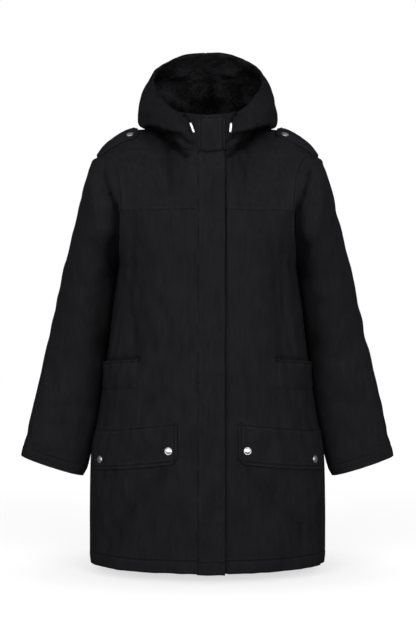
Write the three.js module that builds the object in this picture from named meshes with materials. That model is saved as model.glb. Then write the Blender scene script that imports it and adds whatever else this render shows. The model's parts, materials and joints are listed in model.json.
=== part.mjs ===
// A hooded parka in matt black cloth, filled out as if worn, with nobody in it.
// Millimetres. +Z is up, the front faces -Y, and +X is the wearer's left.
// The origin is at the base of the neck, between the shoulders.
// "left" and "right" in names are the wearer's.
import * as THREE from "three";

// Cloth
const CLOTH = 2.6; // wall of the outer cloth with its backing
const TRIM_CLOTH = 2.2; // wall of what is sewn on: flaps, straps, patches
const PLUSH = 4; // wall of the hood's plush lining
const SEAM = 0.2; // each edge stands this far back from its seam
const MITRE = 1; // the inner face of an edge stands this much further back
const RIDGE_MITRE = 3.2; // the same at the shoulder seam, which turns sharply
const LAID = 0.6; // clearance under a piece that lies on a panel
const LINING_GAP = 1.4; // between the hood and its lining

// Heights
const HEM_Z = -886;
const UNDERARM_Z = -292;
const YOKE_Z = -178;

// Grid steps
const BODY_ROWS = 16; // from the hem to the underarm
const COLUMNS = 10; // from the centre front or back to the side seam
const NECK_COLUMNS = 4; // of those, the ones that end on the neckline
const SLEEVE_STEPS = 2; // between two rows of the sleeve's table
const HOOD_STEPS = 2; // between two rows of the hood's table
const HOOD_RISE = 7; // from the neck seam to the rim

// The body's level sections: half its width, and its depth in front of and behind the side seam.
const BODY = [
  { z: -886, half: 239, front: 160, back: 146 },
  { z: -866, half: 241, front: 161, back: 148 },
  { z: -760, half: 241, front: 161, back: 148 },
  { z: -672, half: 239, front: 159, back: 147 },
  { z: -640, half: 235, front: 158, back: 146 },
  { z: -607, half: 227, front: 157, back: 145 },
  { z: -540, half: 216, front: 154, back: 142 },
  { z: -476, half: 206, front: 150, back: 139 },
  { z: -400, half: 197.5, front: 145, back: 137 },
  { z: -332, half: 190, front: 141, back: 136 },
  { z: -292, half: 186, front: 139, back: 135 },
  { z: -230, half: 184, front: 137, back: 134 },
  { z: -178, half: 184, front: 134, back: 132 },
];

// The left armhole seam: from the shoulder down the front to the underarm, and up the back.
const ARMHOLE = [
  { x: 229, y: 6, z: -62 },
  { x: 213, y: -36, z: -63 },
  { x: 196, y: -64, z: -72 },
  { x: 183, y: -87, z: -100 },
  { x: 177, y: -97, z: -138 },
  { x: 175, y: -96, z: YOKE_Z },
  { x: 175, y: -82, z: -218 },
  { x: 178, y: -55, z: -258 },
  { x: 182, y: -27, z: -283 },
  { x: 186, y: 0, z: UNDERARM_Z },
  { x: 182, y: 30, z: -282 },
  { x: 179, y: 60, z: -254 },
  { x: 178, y: 86, z: -214 },
  { x: 178, y: 100, z: YOKE_Z },
  { x: 181, y: 102, z: -130 },
  { x: 190, y: 84, z: -92 },
  { x: 206, y: 50, z: -68 },
];
const ARMHOLE_YOKE = 5; // rows of that table where the seams meet
const ARMHOLE_UNDER = 9;
const ARMHOLE_BACK = 13;

// The shoulder seam, from the neck point out to the armhole.
const SHOULDER = [
  { x: 88, y: 8, z: 4 },
  { x: 115, y: 7, z: 0 },
  { x: 142, y: 6, z: -4 },
  { x: 166, y: 6, z: -10 },
  { x: 190, y: 6, z: -23 },
  { x: 211, y: 6, z: -40 },
  { x: 229, y: 6, z: -62 },
];

// The left sleeve's sections: its outer and inner point, its middle line's depth and half its thickness.
const SLEEVE = [
  { outX: 238, outZ: -75, inX: 187.6, inZ: -297, midY: 2, deep: 100 },
  { outX: 252, outZ: -113, inX: 188.7, inZ: -310, midY: 6, deep: 101 },
  { outX: 264, outZ: -163, inX: 190.3, inZ: -330, midY: 13, deep: 98 },
  { outX: 278, outZ: -220, inX: 193.5, inZ: -362, midY: 18, deep: 92 },
  { outX: 293, outZ: -280, inX: 198, inZ: -405, midY: 26, deep: 84 },
  { outX: 312, outZ: -357, inX: 203.5, inZ: -462, midY: 32, deep: 75 },
  { outX: 334, outZ: -452, inX: 212, inZ: -525, midY: 33, deep: 65 },
  { outX: 352.5, outZ: -533, inX: 222.5, inZ: -587, midY: 31, deep: 55 },
  { outX: 369, outZ: -605, inX: 236, inZ: -646, midY: 27, deep: 47 },
  { outX: 380.5, outZ: -656, inX: 246, inZ: -692, midY: 24, deep: 42 },
  { outX: 383.5, outZ: -673, inX: 257, inZ: -714, midY: 23, deep: 40 },
];

// The left half of the hood, from the centre front round to the centre back:
// its neck seam, the roll that rests on the shoulder, its belly and its rim.
const HOOD = [
  { neck: [0, -112, -62], roll: [0, -117, -43], belly: [0, -122, -17], rim: [0, -120, 11] },
  { neck: [45, -104, -54], roll: [52, -112, -34], belly: [54, -113, -8], rim: [45, -105, 17] },
  { neck: [67, -79, -34], roll: [82, -91, -21], belly: [88, -94, 6], rim: [68, -87, 27] },
  { neck: [82, -38, -10], roll: [114, -52, -7], belly: [124, -53, 28], rim: [92, -62, 51] },
  { neck: [88, 8, 5], roll: [138, 0, 3], belly: [138, -3, 46], rim: [114, -27, 90] },
  { neck: [79, 48, 5], roll: [129, 52, 7], belly: [137, 45, 72], rim: [107, 11, 122] },
  { neck: [59, 72, 3], roll: [96, 94, 12], belly: [117, 94, 97], rim: [80, 43, 146] },
  { neck: [31, 84, 0], roll: [50, 112, 12], belly: [65, 124, 111], rim: [42, 57, 162] },
  { neck: [0, 88, -2], roll: [0, 119, 12], belly: [0, 134, 116], rim: [0, 62, 166] },
];
const HOOD_LAST = HOOD.length - 1;
const HOOD_SIDE = 4; // the row at the neck point, where front and back meet

// The largest soft folds: a line in the front view (or the back view), its width and its height.
const FRONT_FOLDS = [
  { x0: -96, z0: -700, x1: -196, z1: -830, width: 26, height: -5 },
  { x0: -60, z0: -720, x1: -150, z1: -850, width: 30, height: 4 },
  { x0: 92, z0: -700, x1: 196, z1: -825, width: 26, height: -5 },
  { x0: 56, z0: -720, x1: 146, z1: -850, width: 30, height: 4 },
  { x0: -150, z0: -330, x1: -150, z1: -470, width: 24, height: -4 },
  { x0: 150, z0: -330, x1: 152, z1: -470, width: 24, height: -4 },
  { x0: -95, z0: -240, x1: -100, z1: -520, width: 34, height: 3 },
  { x0: 96, z0: -240, x1: 100, z1: -520, width: 34, height: 3 },
];
const BACK_FOLDS = [
  { x0: -120, z0: -220, x1: -135, z1: -760, width: 34, height: -6 },
  { x0: -70, z0: -420, x1: -76, z1: -850, width: 34, height: 5 },
  { x0: 8, z0: -380, x1: 2, z1: -840, width: 36, height: -6 },
  { x0: 78, z0: -420, x1: 88, z1: -850, width: 34, height: 5 },
  { x0: 124, z0: -230, x1: 140, z1: -760, width: 34, height: -6 },
];
const SLEEVE_FOLDS = [
  { x0: 208, z0: -100, x1: 184, z1: -190, width: 17, height: -9 },
  { x0: 222, z0: -250, x1: 226, z1: -400, width: 26, height: -5 },
  { x0: 285, z0: -300, x1: 250, z1: -400, width: 26, height: 4 },
  { x0: 310, z0: -430, x1: 240, z1: -500, width: 24, height: -4 },
  { x0: 345, z0: -600, x1: 280, z1: -640, width: 22, height: -4 },
];

// Storm flap over the closed centre front, with the part of it that stands on the hood's front
const FLAP = { left: -21, right: 33.5, longer: 2, top: 0.985, columns: 4 };
const COLLAR_FLAP = { left: -17, right: 34, low: 0.06, high: 0.97, rows: 7, columns: 6 };

// Pocket flaps with their two snaps, as corners in the front view on the wearer's right and left
const POCKET_FLAPS = [
  { name: "right", inX: -59, outX: -222, inTop: -592, outTop: -613, inLow: -673, outLow: -693 },
  { name: "left", inX: 60, outX: 227, inTop: -592, outTop: -613, inLow: -673, outLow: -693 },
];
const POCKET_FLAP_ROWS = 4;
const POCKET_FLAP_COLUMNS = 11;
const POCKET_CORNER = 12; // what the inner lower corner is cut off by
const POCKET_FLAP_LAID = 1.2; // clearance under it, more than elsewhere because it crosses the folds
const STRAP_LAID = 1.2; // clearance under it, more than elsewhere because it bends over the shoulder seam
const STRAP_BOW = 3.8; // how much higher it bows over the seam itself, at its start
const STRAP_SINK = 0.75; // of that is gone at its end, where it is sewn in

// Side pocket welts, open at the top, from an inner edge round to near the side seam
const HAND_POCKETS = [
  { name: "right", inX: -140, inTop: -471, outTop: -480, inLow: -528, outLow: -536 },
  { name: "left", inX: 138, inTop: -471, outTop: -480, inLow: -528, outLow: -536 },
];
const HAND_POCKET_END = 0.993; // of the half width, just short of the side seam
const HAND_POCKET_MOUTH = 6; // how far the mouth stands off at its outer end
const HAND_POCKET_ROWS = 6;
const HAND_POCKET_COLUMNS = 5;

// Shoulder straps: their start near the hood, middle in front of the shoulder seam, half width
// and the pointed end's length
const STRAP = { startX: 143, endX: 227, middle: -13.2, half: 22, point: 15, rows: 5, columns: 6 };

// Press snaps: a domed cap with a rolled rim
const SNAP = { radius: 7.5, high: 2.6, rim: 1.4, sides: 14 };
const FLAP_SNAPS = [
  { name: "snap_right_outer", x: -215, z: -672 },
  { name: "snap_right_inner", x: -76, z: -649 },
  { name: "snap_left_inner", x: 78, z: -649 },
  { name: "snap_left_outer", x: 215, z: -672 },
];
const STRAP_SNAP_X = 160;
const STRAP_SNAP_ACROSS = -18.5; // from the shoulder seam towards the front

// Drawcords at the hood's front: where each comes out of the rim, and its metal tip's two ends
const CORD_RADIUS = 1.9;
const TIP_RADIUS = 3.2;
const CORDS = [
  {
    name: "right",
    route: [[-46.5, -108.6, 11], [-45.5, -115.5, 14.5], [-42.5, -121, 10.5], [-38, -124, 3], [-34, -125.4, -4]],
    tip: [[-33.8, -125.5, -4.6], [-26.4, -127, -25.4]],
  },
  {
    name: "left",
    route: [[56.5, -103.8, 13.5], [56, -111, 17], [53.5, -117, 12.5], [49.5, -120.5, 4], [46.8, -122, -4]],
    tip: [[46.6, -122.1, -4.6], [44.6, -123, -24.6]],
  },
];

// Colours and finish of each material
const FINISHES = {
  cloth: { color: 0x1b1b1d, roughness: 0.88, metalness: 0 },
  plush: { color: 0x101011, roughness: 1, metalness: 0 },
  cord: { color: 0x17171a, roughness: 0.8, metalness: 0 },
  silver: { color: 0xd8d9db, roughness: 0.28, metalness: 1 },
};

const vec = (x, y, z) => new THREE.Vector3(x, y, z);
const spot = (row) => vec(row.x, row.y, row.z);

// A number from a table whose rows are sorted by z, as a smooth curve through them.
function valueAt(rows, name, z) {
  const last = rows.length - 1;
  const at = Math.min(Math.max(z, rows[0].z), rows[last].z);
  let i = 0;
  while (i < last - 1 && rows[i + 1].z <= at) i += 1;
  const slope = (k) => {
    const from = Math.max(k - 1, 0);
    const to = Math.min(k + 1, last);
    return (rows[to][name] - rows[from][name]) / (rows[to].z - rows[from].z);
  };
  const step = rows[i + 1].z - rows[i].z;
  const t = (at - rows[i].z) / step;
  const near = rows[i][name] * (1 + 2 * t) * (1 - t) ** 2 + slope(i) * step * t * (1 - t) ** 2;
  const far = rows[i + 1][name] * t * t * (3 - 2 * t) + slope(i + 1) * step * t * t * (t - 1);
  return near + far;
}

// A point on the smooth curve through a list of points, where t counts points from 0.
function along(points, t) {
  const last = points.length - 1;
  const i = Math.min(Math.max(Math.floor(t), 0), last - 1);
  const f = t - i;
  const p1 = points[i];
  const p2 = points[i + 1];
  const p0 = i > 0 ? points[i - 1] : p1.clone().multiplyScalar(2).sub(p2);
  const p3 = i < last - 1 ? points[i + 2] : p2.clone().multiplyScalar(2).sub(p1);
  const weights = [
    -0.5 * f + f * f - 0.5 * f ** 3,
    1 - 2.5 * f * f + 1.5 * f ** 3,
    0.5 * f + 2 * f * f - 1.5 * f ** 3,
    -0.5 * f * f + 0.5 * f ** 3,
  ];
  const out = vec(0, 0, 0);
  [p0, p1, p2, p3].forEach((p, k) => out.addScaledVector(p, weights[k]));
  return out;
}

// How high the folds of a table stand at a place in the front or back view.
function foldHeight(folds, x, z) {
  let height = 0;
  for (const fold of folds) {
    const dx = fold.x1 - fold.x0;
    const dz = fold.z1 - fold.z0;
    const share = ((x - fold.x0) * dx + (z - fold.z0) * dz) / (dx * dx + dz * dz);
    const t = Math.min(Math.max(share, 0), 1);
    const away = Math.hypot(x - fold.x0 - t * dx, z - fold.z0 - t * dz);
    height += fold.height * Math.exp(-((away / fold.width) ** 2));
  }
  return height;
}

const armholePoints = ARMHOLE.map(spot);
const frontArmhole = armholePoints.slice(ARMHOLE_YOKE, ARMHOLE_UNDER + 1).reverse();
const backArmhole = armholePoints.slice(ARMHOLE_UNDER, ARMHOLE_BACK + 1);
const frontYokeEnd = armholePoints.slice(0, ARMHOLE_YOKE + 1).reverse();
const backYokeEnd = [...armholePoints.slice(ARMHOLE_BACK), armholePoints[0]];

// The level section at a height: half an ellipse that ends at the side seam, or at the armhole above it.
// `end` is the angle at which it ends; the ellipse is `wide` by `deep`.
function section(z, back) {
  const deep = valueAt(BODY, back ? "back" : "front", z);
  if (z <= UNDERARM_Z) return { wide: valueAt(BODY, "half", z), deep, end: Math.PI / 2 };
  const edge = back ? backArmhole : frontArmhole;
  let t = 0;
  for (let step = 1; step < 24; step += 1) {
    const half = (edge.length - 1) / 2 ** step;
    if (along(edge, t + half).z <= z) t += half;
  }
  const p = along(edge, t);
  const end = Math.acos(Math.min(Math.abs(p.y) / deep, 1));
  return { wide: p.x / Math.sin(end), deep, end };
}

// The body below the yoke seam, where u runs from the centre to the side seam or the armhole.
function lowBody(u, z, back) {
  const { wide, deep, end } = section(z, back);
  const turn = u * end;
  return vec(wide * Math.sin(turn), (back ? 1 : -1) * deep * Math.cos(turn), z);
}

const neckPoints = HOOD.map((row) => vec(...row.neck));
const shoulderPoints = SHOULDER.map(spot);

// The top edge of the yoke or the back: the neckline, then the shoulder seam.
function topEdge(u, back) {
  const share = NECK_COLUMNS / COLUMNS;
  if (u > share) {
    return along(shoulderPoints, ((u - share) / (1 - share)) * (shoulderPoints.length - 1));
  }
  const round = (u / share) * HOOD_SIDE;
  return along(neckPoints, back ? HOOD_LAST - round : round);
}

// The body above the yoke seam: a patch between its four edges, puffed out a little. In front the armhole's
// bend dies out quickly towards the neck, so that the shoulder slopes down in front of its seam.
function highBody(u, v, back) {
  const edge = back ? backYokeEnd : frontYokeEnd;
  const low = lowBody(u, YOKE_Z, back);
  const high = topEdge(u, back);
  const straight = edge[0].clone().lerp(edge[edge.length - 1], v);
  const bend = along(edge, v * (edge.length - 1)).sub(straight);
  const p = low.lerp(high, v).addScaledVector(bend, back ? u : u ** 3);
  const puff = 13 * Math.sin(Math.PI * v) * Math.sin(Math.PI * Math.min(0.25 + 0.75 * u, 1));
  return p.add(vec(0, (back ? 0.8 : -0.8) * puff, 0.5 * puff));
}

// A point of a surface with its outward normal, worked out from points close by.
function withNormal(surface, u, v, sign = 1) {
  const d = 1e-3;
  const p = surface(u, v);
  const du = surface(u + d, v).sub(surface(u - d, v));
  const dv = surface(u, v + d).sub(surface(u, v - d));
  return { p, n: du.cross(dv).multiplyScalar(sign).normalize() };
}

// The same point on the wearer's left (side 1) or right (side -1).
function onSide({ p, n }, side) {
  return { p: vec(side * p.x, p.y, p.z), n: vec(side * n.x, n.y, n.z) };
}

function moved({ p, n }, height) {
  return { p: p.clone().addScaledVector(n, height), n };
}

const ROUND_Z = 1000; // brings heights to the same size as shares, for the normals

// A point of the front or back body by its share u round to the side and its row:
// a height below the yoke seam, or a share of the way up from there to the top edge.
function bodyPoint(side, u, row, back) {
  const sign = back ? -1 : 1;
  const surface = row.z === undefined
    ? (a, b) => highBody(a, b, back)
    : (a, b) => lowBody(a, b * ROUND_Z, back);
  const v = row.z === undefined ? row.v : row.z / ROUND_Z;
  const made = onSide(withNormal(surface, u, v, sign), side);
  const folds = back ? BACK_FOLDS : FRONT_FOLDS;
  return moved(made, foldHeight(folds, made.p.x, made.p.z));
}

// The same by its place across the front view.
function frontAt(x, row) {
  const side = x < 0 ? -1 : 1;
  let u = 0;
  for (let step = 1; step < 22; step += 1) {
    const next = u + 1 / 2 ** step;
    const p = row.z === undefined ? highBody(next, row.v, false) : lowBody(next, row.z, false);
    if (p.x <= Math.abs(x)) u = next;
  }
  return bodyPoint(side, u, row, false);
}

const hoodLine = (name) => HOOD.map((row) => vec(...row[name]));
const hoodLines = ["neck", "roll", "belly", "rim"].map(hoodLine);

// The hood's left half: `round` counts rows of its table, v runs from the neck seam to the rim.
function hoodPoint(round, v) {
  const mirror = (p) => vec(-p.x, p.y, p.z);
  const at = (line) => {
    const closed = [mirror(line[1]), ...line, mirror(line[HOOD_LAST - 1])];
    return along(closed, round + 1);
  };
  return along(hoodLines.map(at), v * 3);
}

// The hood at a place across the front view.
function hoodAt(x, v) {
  const side = x < 0 ? -1 : 1;
  let round = 0;
  for (let step = 1; step < 20; step += 1) {
    const next = round + HOOD_SIDE / 2 / 2 ** step;
    if (hoodPoint(next, v).x <= Math.abs(x)) round = next;
  }
  return onSide(withNormal(hoodPoint, round, v), side);
}

// One closed wall: an outer face on a grid of points, an inner face `thick` below it, and its edges.
// An edge is [how far it stands back from the seam, how much further its inner face does].
function wall(grid, { thick, flip = false, ring = false, edges = {} }) {
  const rows = grid.length;
  const columns = grid[0].length;
  const outer = grid.map((line) => line.map(({ p }) => p.clone()));
  const inner = grid.map((line) => line.map(({ p, n }) => p.clone().addScaledVector(n, -thick)));
  const pull = (face, i, j, toI, toJ, by) => {
    const way = face[toI][toJ].clone().sub(face[i][j]);
    face[i][j].addScaledVector(way.normalize(), by);
  };
  const setBack = ([gap, mitre], visit) => {
    visit((i, j, toI, toJ) => {
      pull(outer, i, j, toI, toJ, gap);
      pull(inner, i, j, toI, toJ, gap + mitre);
    });
  };
  const row = (i, toI) => (visit) => {
    for (let j = 0; j < columns; j += 1) visit(i, j, toI, j);
  };
  const column = (j, toJ) => (visit) => {
    for (let i = 0; i < rows; i += 1) visit(i, j, i, toJ);
  };
  if (edges.bottom) setBack(edges.bottom, row(0, 1));
  if (edges.top) setBack(edges.top, row(rows - 1, rows - 2));
  if (edges.start) setBack(edges.start, column(0, 1));
  if (edges.end) setBack(edges.end, column(columns - 1, columns - 2));

  const index = [];
  const far = rows * columns;
  const out = (i, j) => i * columns + (j % columns);
  const inn = (i, j) => far + out(i, j);
  const quad = (a, b, c, d) => index.push(a, b, c, a, c, d);
  const cells = ring ? columns : columns - 1;
  for (let i = 0; i < rows - 1; i += 1) {
    for (let j = 0; j < cells; j += 1) {
      quad(out(i, j), out(i, j + 1), out(i + 1, j + 1), out(i + 1, j));
      quad(inn(i, j), inn(i + 1, j), inn(i + 1, j + 1), inn(i, j + 1));
    }
    if (!ring) {
      const end = columns - 1;
      quad(out(i, 0), out(i + 1, 0), inn(i + 1, 0), inn(i, 0));
      quad(out(i, end), inn(i, end), inn(i + 1, end), out(i + 1, end));
    }
  }
  for (let j = 0; j < cells; j += 1) {
    const top = rows - 1;
    quad(out(0, j), inn(0, j), inn(0, j + 1), out(0, j + 1));
    quad(out(top, j), out(top, j + 1), inn(top, j + 1), inn(top, j));
  }
  if (flip) {
    for (let k = 0; k < index.length; k += 3) {
      [index[k + 1], index[k + 2]] = [index[k + 2], index[k + 1]];
    }
  }
  const numbers = [...outer, ...inner].flat().flatMap((p) => [p.x, p.y, p.z]);
  const geometry = new THREE.BufferGeometry();
  geometry.setAttribute("position", new THREE.Float32BufferAttribute(numbers, 3));
  geometry.setIndex(index);
  geometry.computeVertexNormals();
  return geometry;
}

const parka = new THREE.Group();

function add(name, geometry, finish) {
  const mesh = new THREE.Mesh(geometry, new THREE.MeshStandardMaterial(FINISHES[finish]));
  mesh.name = name;
  parka.add(mesh);
  return mesh;
}

const steps = (count) => Array.from({ length: count + 1 }, (_, i) => i / count);
const mix = (a, b, t) => a + (b - a) * t;
const sideName = (side) => (side > 0 ? "left" : "right");

// The heights of the body's rows up to the yoke seam, and the shares above it.
const hemToUnderarm = steps(BODY_ROWS).map((t) => ({ z: mix(HEM_Z, UNDERARM_Z, t) }));
const armholeRows = (edge) => edge.slice(1).map((p) => ({ z: p.z }));
const shareRows = (edge) => steps(edge.length - 1).map((v) => ({ v }));

// The two fronts below the yoke seam
function addFront(side) {
  const rows = [...hemToUnderarm, ...armholeRows(frontArmhole)];
  const grid = rows.map((row) => steps(COLUMNS).map((u) => bodyPoint(side, u, row, false)));
  const edge = [SEAM, MITRE];
  const edges = { top: edge, start: [SEAM, 0], end: edge };
  add("front_" + sideName(side), wall(grid, { thick: CLOTH, flip: side < 0, edges }), "cloth");
}

// The two front yokes, up to the neckline and the shoulder seam
function addYoke(side) {
  const rows = shareRows(frontYokeEnd);
  const grid = rows.map((row) => steps(COLUMNS).map((u) => bodyPoint(side, u, row, false)));
  const edge = [SEAM, MITRE];
  const edges = { bottom: edge, top: [SEAM, RIDGE_MITRE], start: [SEAM, SEAM], end: edge };
  add("yoke_" + sideName(side), wall(grid, { thick: CLOTH, flip: side < 0, edges }), "cloth");
}

// The back, in one piece from the hem to the neck
function addBack() {
  const rows = [...hemToUnderarm, ...armholeRows(backArmhole), ...shareRows(backYokeEnd).slice(1)];
  const across = [
    ...steps(COLUMNS).reverse().map((u) => [1, u]),
    ...steps(COLUMNS).slice(1).map((u) => [-1, u]),
  ];
  const grid = rows.map((row) => across.map(([side, u]) => bodyPoint(side, u, row, true)));
  const edge = [SEAM, MITRE];
  const edges = { top: [SEAM, RIDGE_MITRE], start: edge, end: edge };
  add("back", wall(grid, { thick: CLOTH, edges }), "cloth");
}

// The sleeve's rings: the armhole seam first, then each row of its table.
function sleeveRings() {
  const lengths = armholePoints.map((p, k) => p.distanceTo(armholePoints[(k + 1) % armholePoints.length]));
  const half = (from, to) => lengths.slice(from, to).reduce((sum, one) => sum + one, 0);
  const angles = armholePoints.map((_, k) => {
    if (k <= ARMHOLE_UNDER) return Math.PI * (half(0, k) / half(0, ARMHOLE_UNDER));
    return Math.PI * (1 + half(ARMHOLE_UNDER, k) / half(ARMHOLE_UNDER, lengths.length));
  });
  const rings = SLEEVE.map((row) => angles.map((angle) => {
    const share = (1 + Math.cos(angle)) / 2;
    return vec(
      mix(row.inX, row.outX, share),
      row.midY - row.deep * Math.sin(angle),
      mix(row.inZ, row.outZ, share),
    );
  }));
  return [armholePoints, ...rings];
}

const rings = sleeveRings();
const ringLines = armholePoints.map((_, k) => rings.map((ring) => ring[k]));

// The left sleeve: `round` counts the armhole's points, `down` the rings.
function sleevePoint(round, down) {
  const count = ringLines.length;
  const k = ((round % count) + count) % count;
  const i = Math.floor(k);
  const around = [-1, 0, 1, 2].map((step) => along(ringLines[(i + step + count) % count], down));
  return along(around, 1 + k - i);
}

function addSleeve(side) {
  const down = steps((rings.length - 1) * SLEEVE_STEPS).map((t) => t * (rings.length - 1));
  const grid = down.map((v) => armholePoints.map((_, k) => {
    const made = withNormal(sleevePoint, k, Math.min(Math.max(v, 0.01), rings.length - 1.01));
    made.p = sleevePoint(k, v);
    const reach = Math.min(v, 1);
    const height = reach * foldHeight(SLEEVE_FOLDS, made.p.x, made.p.z) * (made.p.y < 0 ? 1 : 0.6);
    return onSide(moved(made, height), side);
  }));
  const edges = { bottom: [SEAM, MITRE] };
  const geometry = wall(grid, { thick: CLOTH, flip: side < 0, ring: true, edges });
  add("sleeve_" + sideName(side), geometry, "cloth");
}

// The hood's two halves, joined at the centre back and closed under the storm flap
function addHood(side) {
  const grid = steps(HOOD_RISE).map((v) => steps(HOOD_LAST * HOOD_STEPS).map((share) => {
    const round = share * HOOD_LAST;
    const made = withNormal(hoodPoint, round, v);
    if (v === 0) {
      const i = Math.min(Math.floor(round), HOOD_LAST - 1);
      made.p = neckPoints[i].clone().lerp(neckPoints[i + 1], round - i);
    }
    return onSide(made, side);
  }));
  const edges = { bottom: [0.5, 0], start: [SEAM, 0], end: [SEAM, MITRE] };
  add("hood_" + sideName(side), wall(grid, { thick: CLOTH, flip: side < 0, edges }), "cloth");
}

// The plush lining follows the hood inside, and goes straight down to the neck behind the roll.
function liningPoint(round, v) {
  const deep = CLOTH + LINING_GAP;
  const belly = 0.6;
  const at = (share) => moved(withNormal(hoodPoint, round, share), -deep).p;
  if (v >= belly) return at(v);
  const low = neckPoints.map((p) => vec(p.x * 0.9, p.y * 0.91, p.z + 6));
  const closed = [vec(-low[1].x, low[1].y, low[1].z), ...low, vec(-low[HOOD_LAST - 1].x, low[HOOD_LAST - 1].y, low[HOOD_LAST - 1].z)];
  const foot = along(closed, round + 1);
  const t = v / belly;
  const tangent = at(belly).sub(at(belly + 0.02)).multiplyScalar(belly / 0.02 * 0.5);
  const bend = at(belly).addScaledVector(tangent, 0.6);
  return foot.multiplyScalar((1 - t) ** 2).addScaledVector(bend, 2 * t * (1 - t)).addScaledVector(at(belly), t * t);
}

function addLining() {
  const first = 0.15;
  const rounds = steps(HOOD_LAST).map((t) => mix(first, HOOD_LAST, t));
  const across = [...rounds.map((r) => [1, r]), ...rounds.slice(0, -1).reverse().map((r) => [-1, r])];
  const rows = steps(HOOD_RISE).map((t) => t * 0.985);
  const grid = rows.map((v) => across.map(([side, r]) => onSide(withNormal(liningPoint, r, Math.min(v, 0.98)), side)));
  rows.forEach((v, i) => across.forEach(([side, r], j) => {
    const p = liningPoint(r, v);
    grid[i][j].p = vec(side * p.x, p.y, p.z);
  }));
  add("hood_lining", wall(grid, { thick: PLUSH }), "plush");
}

// A piece that lies on the fronts: its grid is panel points moved out.
function laidOn(points, { thick = TRIM_CLOTH, lift = LAID } = {}) {
  const grid = points.map((line) => line.map((one) => moved(one, lift + thick)));
  return wall(grid, { thick });
}

function addStormFlap() {
  const high = shareRows(frontYokeEnd).slice(1).map(({ v }) => ({ v: v * FLAP.top }));
  const rows = [...hemToUnderarm, ...armholeRows(frontArmhole), ...high];
  rows[0] = { z: HEM_Z - FLAP.longer };
  const points = rows.map((row) => steps(FLAP.columns).map(
    (u) => frontAt(mix(FLAP.left, FLAP.right, u), row),
  ));
  add("storm_flap", laidOn(points), "cloth");
  const rise = steps(COLLAR_FLAP.rows).map((t) => mix(COLLAR_FLAP.low, COLLAR_FLAP.high, t));
  const collar = rise.map((v) => steps(COLLAR_FLAP.columns).map(
    (u) => hoodAt(mix(COLLAR_FLAP.left, COLLAR_FLAP.right, u), v),
  ));
  add("storm_flap_collar", laidOn(collar), "cloth");
}

function addPocketFlap(flap) {
  const way = Math.sign(flap.outX);
  const { wide } = section(flap.outTop, false);
  const from = Math.asin(Math.abs(flap.inX) / wide);
  const to = Math.asin(Math.abs(flap.outX) / wide);
  const points = steps(POCKET_FLAP_ROWS).map((v) => steps(POCKET_FLAP_COLUMNS).map((turn, j) => {
    const x = way * wide * Math.sin(mix(from, to, turn));
    const u = (x - flap.inX) / (flap.outX - flap.inX);
    const corner = j === 0 ? POCKET_CORNER : 0;
    const low = mix(flap.inLow, flap.outLow, u) + corner;
    const top = mix(flap.inTop, flap.outTop, u);
    return frontAt(x, { z: mix(low, top, v) });
  }));
  if (way < 0) points.forEach((line) => line.reverse());
  add("pocket_flap_" + flap.name, laidOn(points, { lift: POCKET_FLAP_LAID }), "cloth");
}

function addHandPocket(pocket) {
  const way = Math.sign(pocket.inX);
  const points = steps(HAND_POCKET_ROWS).map((v) => steps(HAND_POCKET_COLUMNS).map((u) => {
    const z = mix(mix(pocket.inLow, pocket.outLow, u), mix(pocket.inTop, pocket.outTop, u), v);
    const wide = section(z, false).wide;
    const from = Math.asin(Math.abs(pocket.inX) / wide);
    const to = Math.asin(HAND_POCKET_END);
    const made = frontAt(way * wide * Math.sin(mix(from, to, u)), { z });
    return moved(made, HAND_POCKET_MOUTH * v ** 2 * (0.2 + 0.8 * u));
  }));
  if (way < 0) points.forEach((line) => line.reverse());
  add("hand_pocket_" + pocket.name, laidOn(points), "cloth");
}

// A shoulder strap's surface: along the shoulder seam, and across it from front to back.
function strapPoint(side, x, across) {
  const share = NECK_COLUMNS / COLUMNS;
  let u = share;
  for (let step = 1; step < 20; step += 1) {
    const next = u + (1 - share) / 2 ** step;
    if (topEdge(next, false).x <= x) u = next;
  }
  const back = across > 0;
  const edge = topEdge(u, back);
  let v = 1;
  while (v > 0 && highBody(u, v, back).distanceTo(edge) < Math.abs(across)) v -= 0.002;
  const near = withNormal((a, b) => highBody(a, b, back), u, Math.min(v, 0.985), back ? -1 : 1);
  near.p = highBody(u, v, back);
  const level = vec(near.n.x, 0, near.n.z).normalize();
  const flat = Math.exp(-((across / 12) ** 2));
  near.n.lerp(level, flat).normalize();
  return onSide(near, side);
}

function strapGrid(side) {
  return steps(STRAP.rows).map((v) => steps(STRAP.columns).map((u) => {
    const x = mix(STRAP.startX, STRAP.endX, u);
    const narrow = Math.min(1, 0.35 + (0.65 * (x - STRAP.startX)) / STRAP.point);
    const across = STRAP.middle + STRAP.half * narrow * (2 * v - 1);
    return moved(strapPoint(side, x, across), strapBow(x, across));
  }));
}

function strapBow(x, across) {
  const share = (x - STRAP.startX) / (STRAP.endX - STRAP.startX);
  return STRAP_BOW * (1 - STRAP_SINK * share) * Math.exp(-((across / STRAP.half) ** 2));
}

function snapGeometry() {
  const { radius, high, rim, sides } = SNAP;
  const outline = [
    [0, 0],
    [radius - 0.5, 0],
    [radius, 0.5],
    [radius - 0.3, rim],
    [radius * 0.72, high - 0.5],
    [radius * 0.4, high],
    [0, high],
  ];
  return new THREE.LatheGeometry(outline.map(([x, y]) => new THREE.Vector2(x, y)), sides);
}

// Seats a turned piece with its axis along a surface's normal, `height` above the surface.
function seat(mesh, { p, n }, height) {
  mesh.position.copy(p).addScaledVector(n, height);
  mesh.quaternion.setFromUnitVectors(vec(0, 1, 0), n);
}

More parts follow.
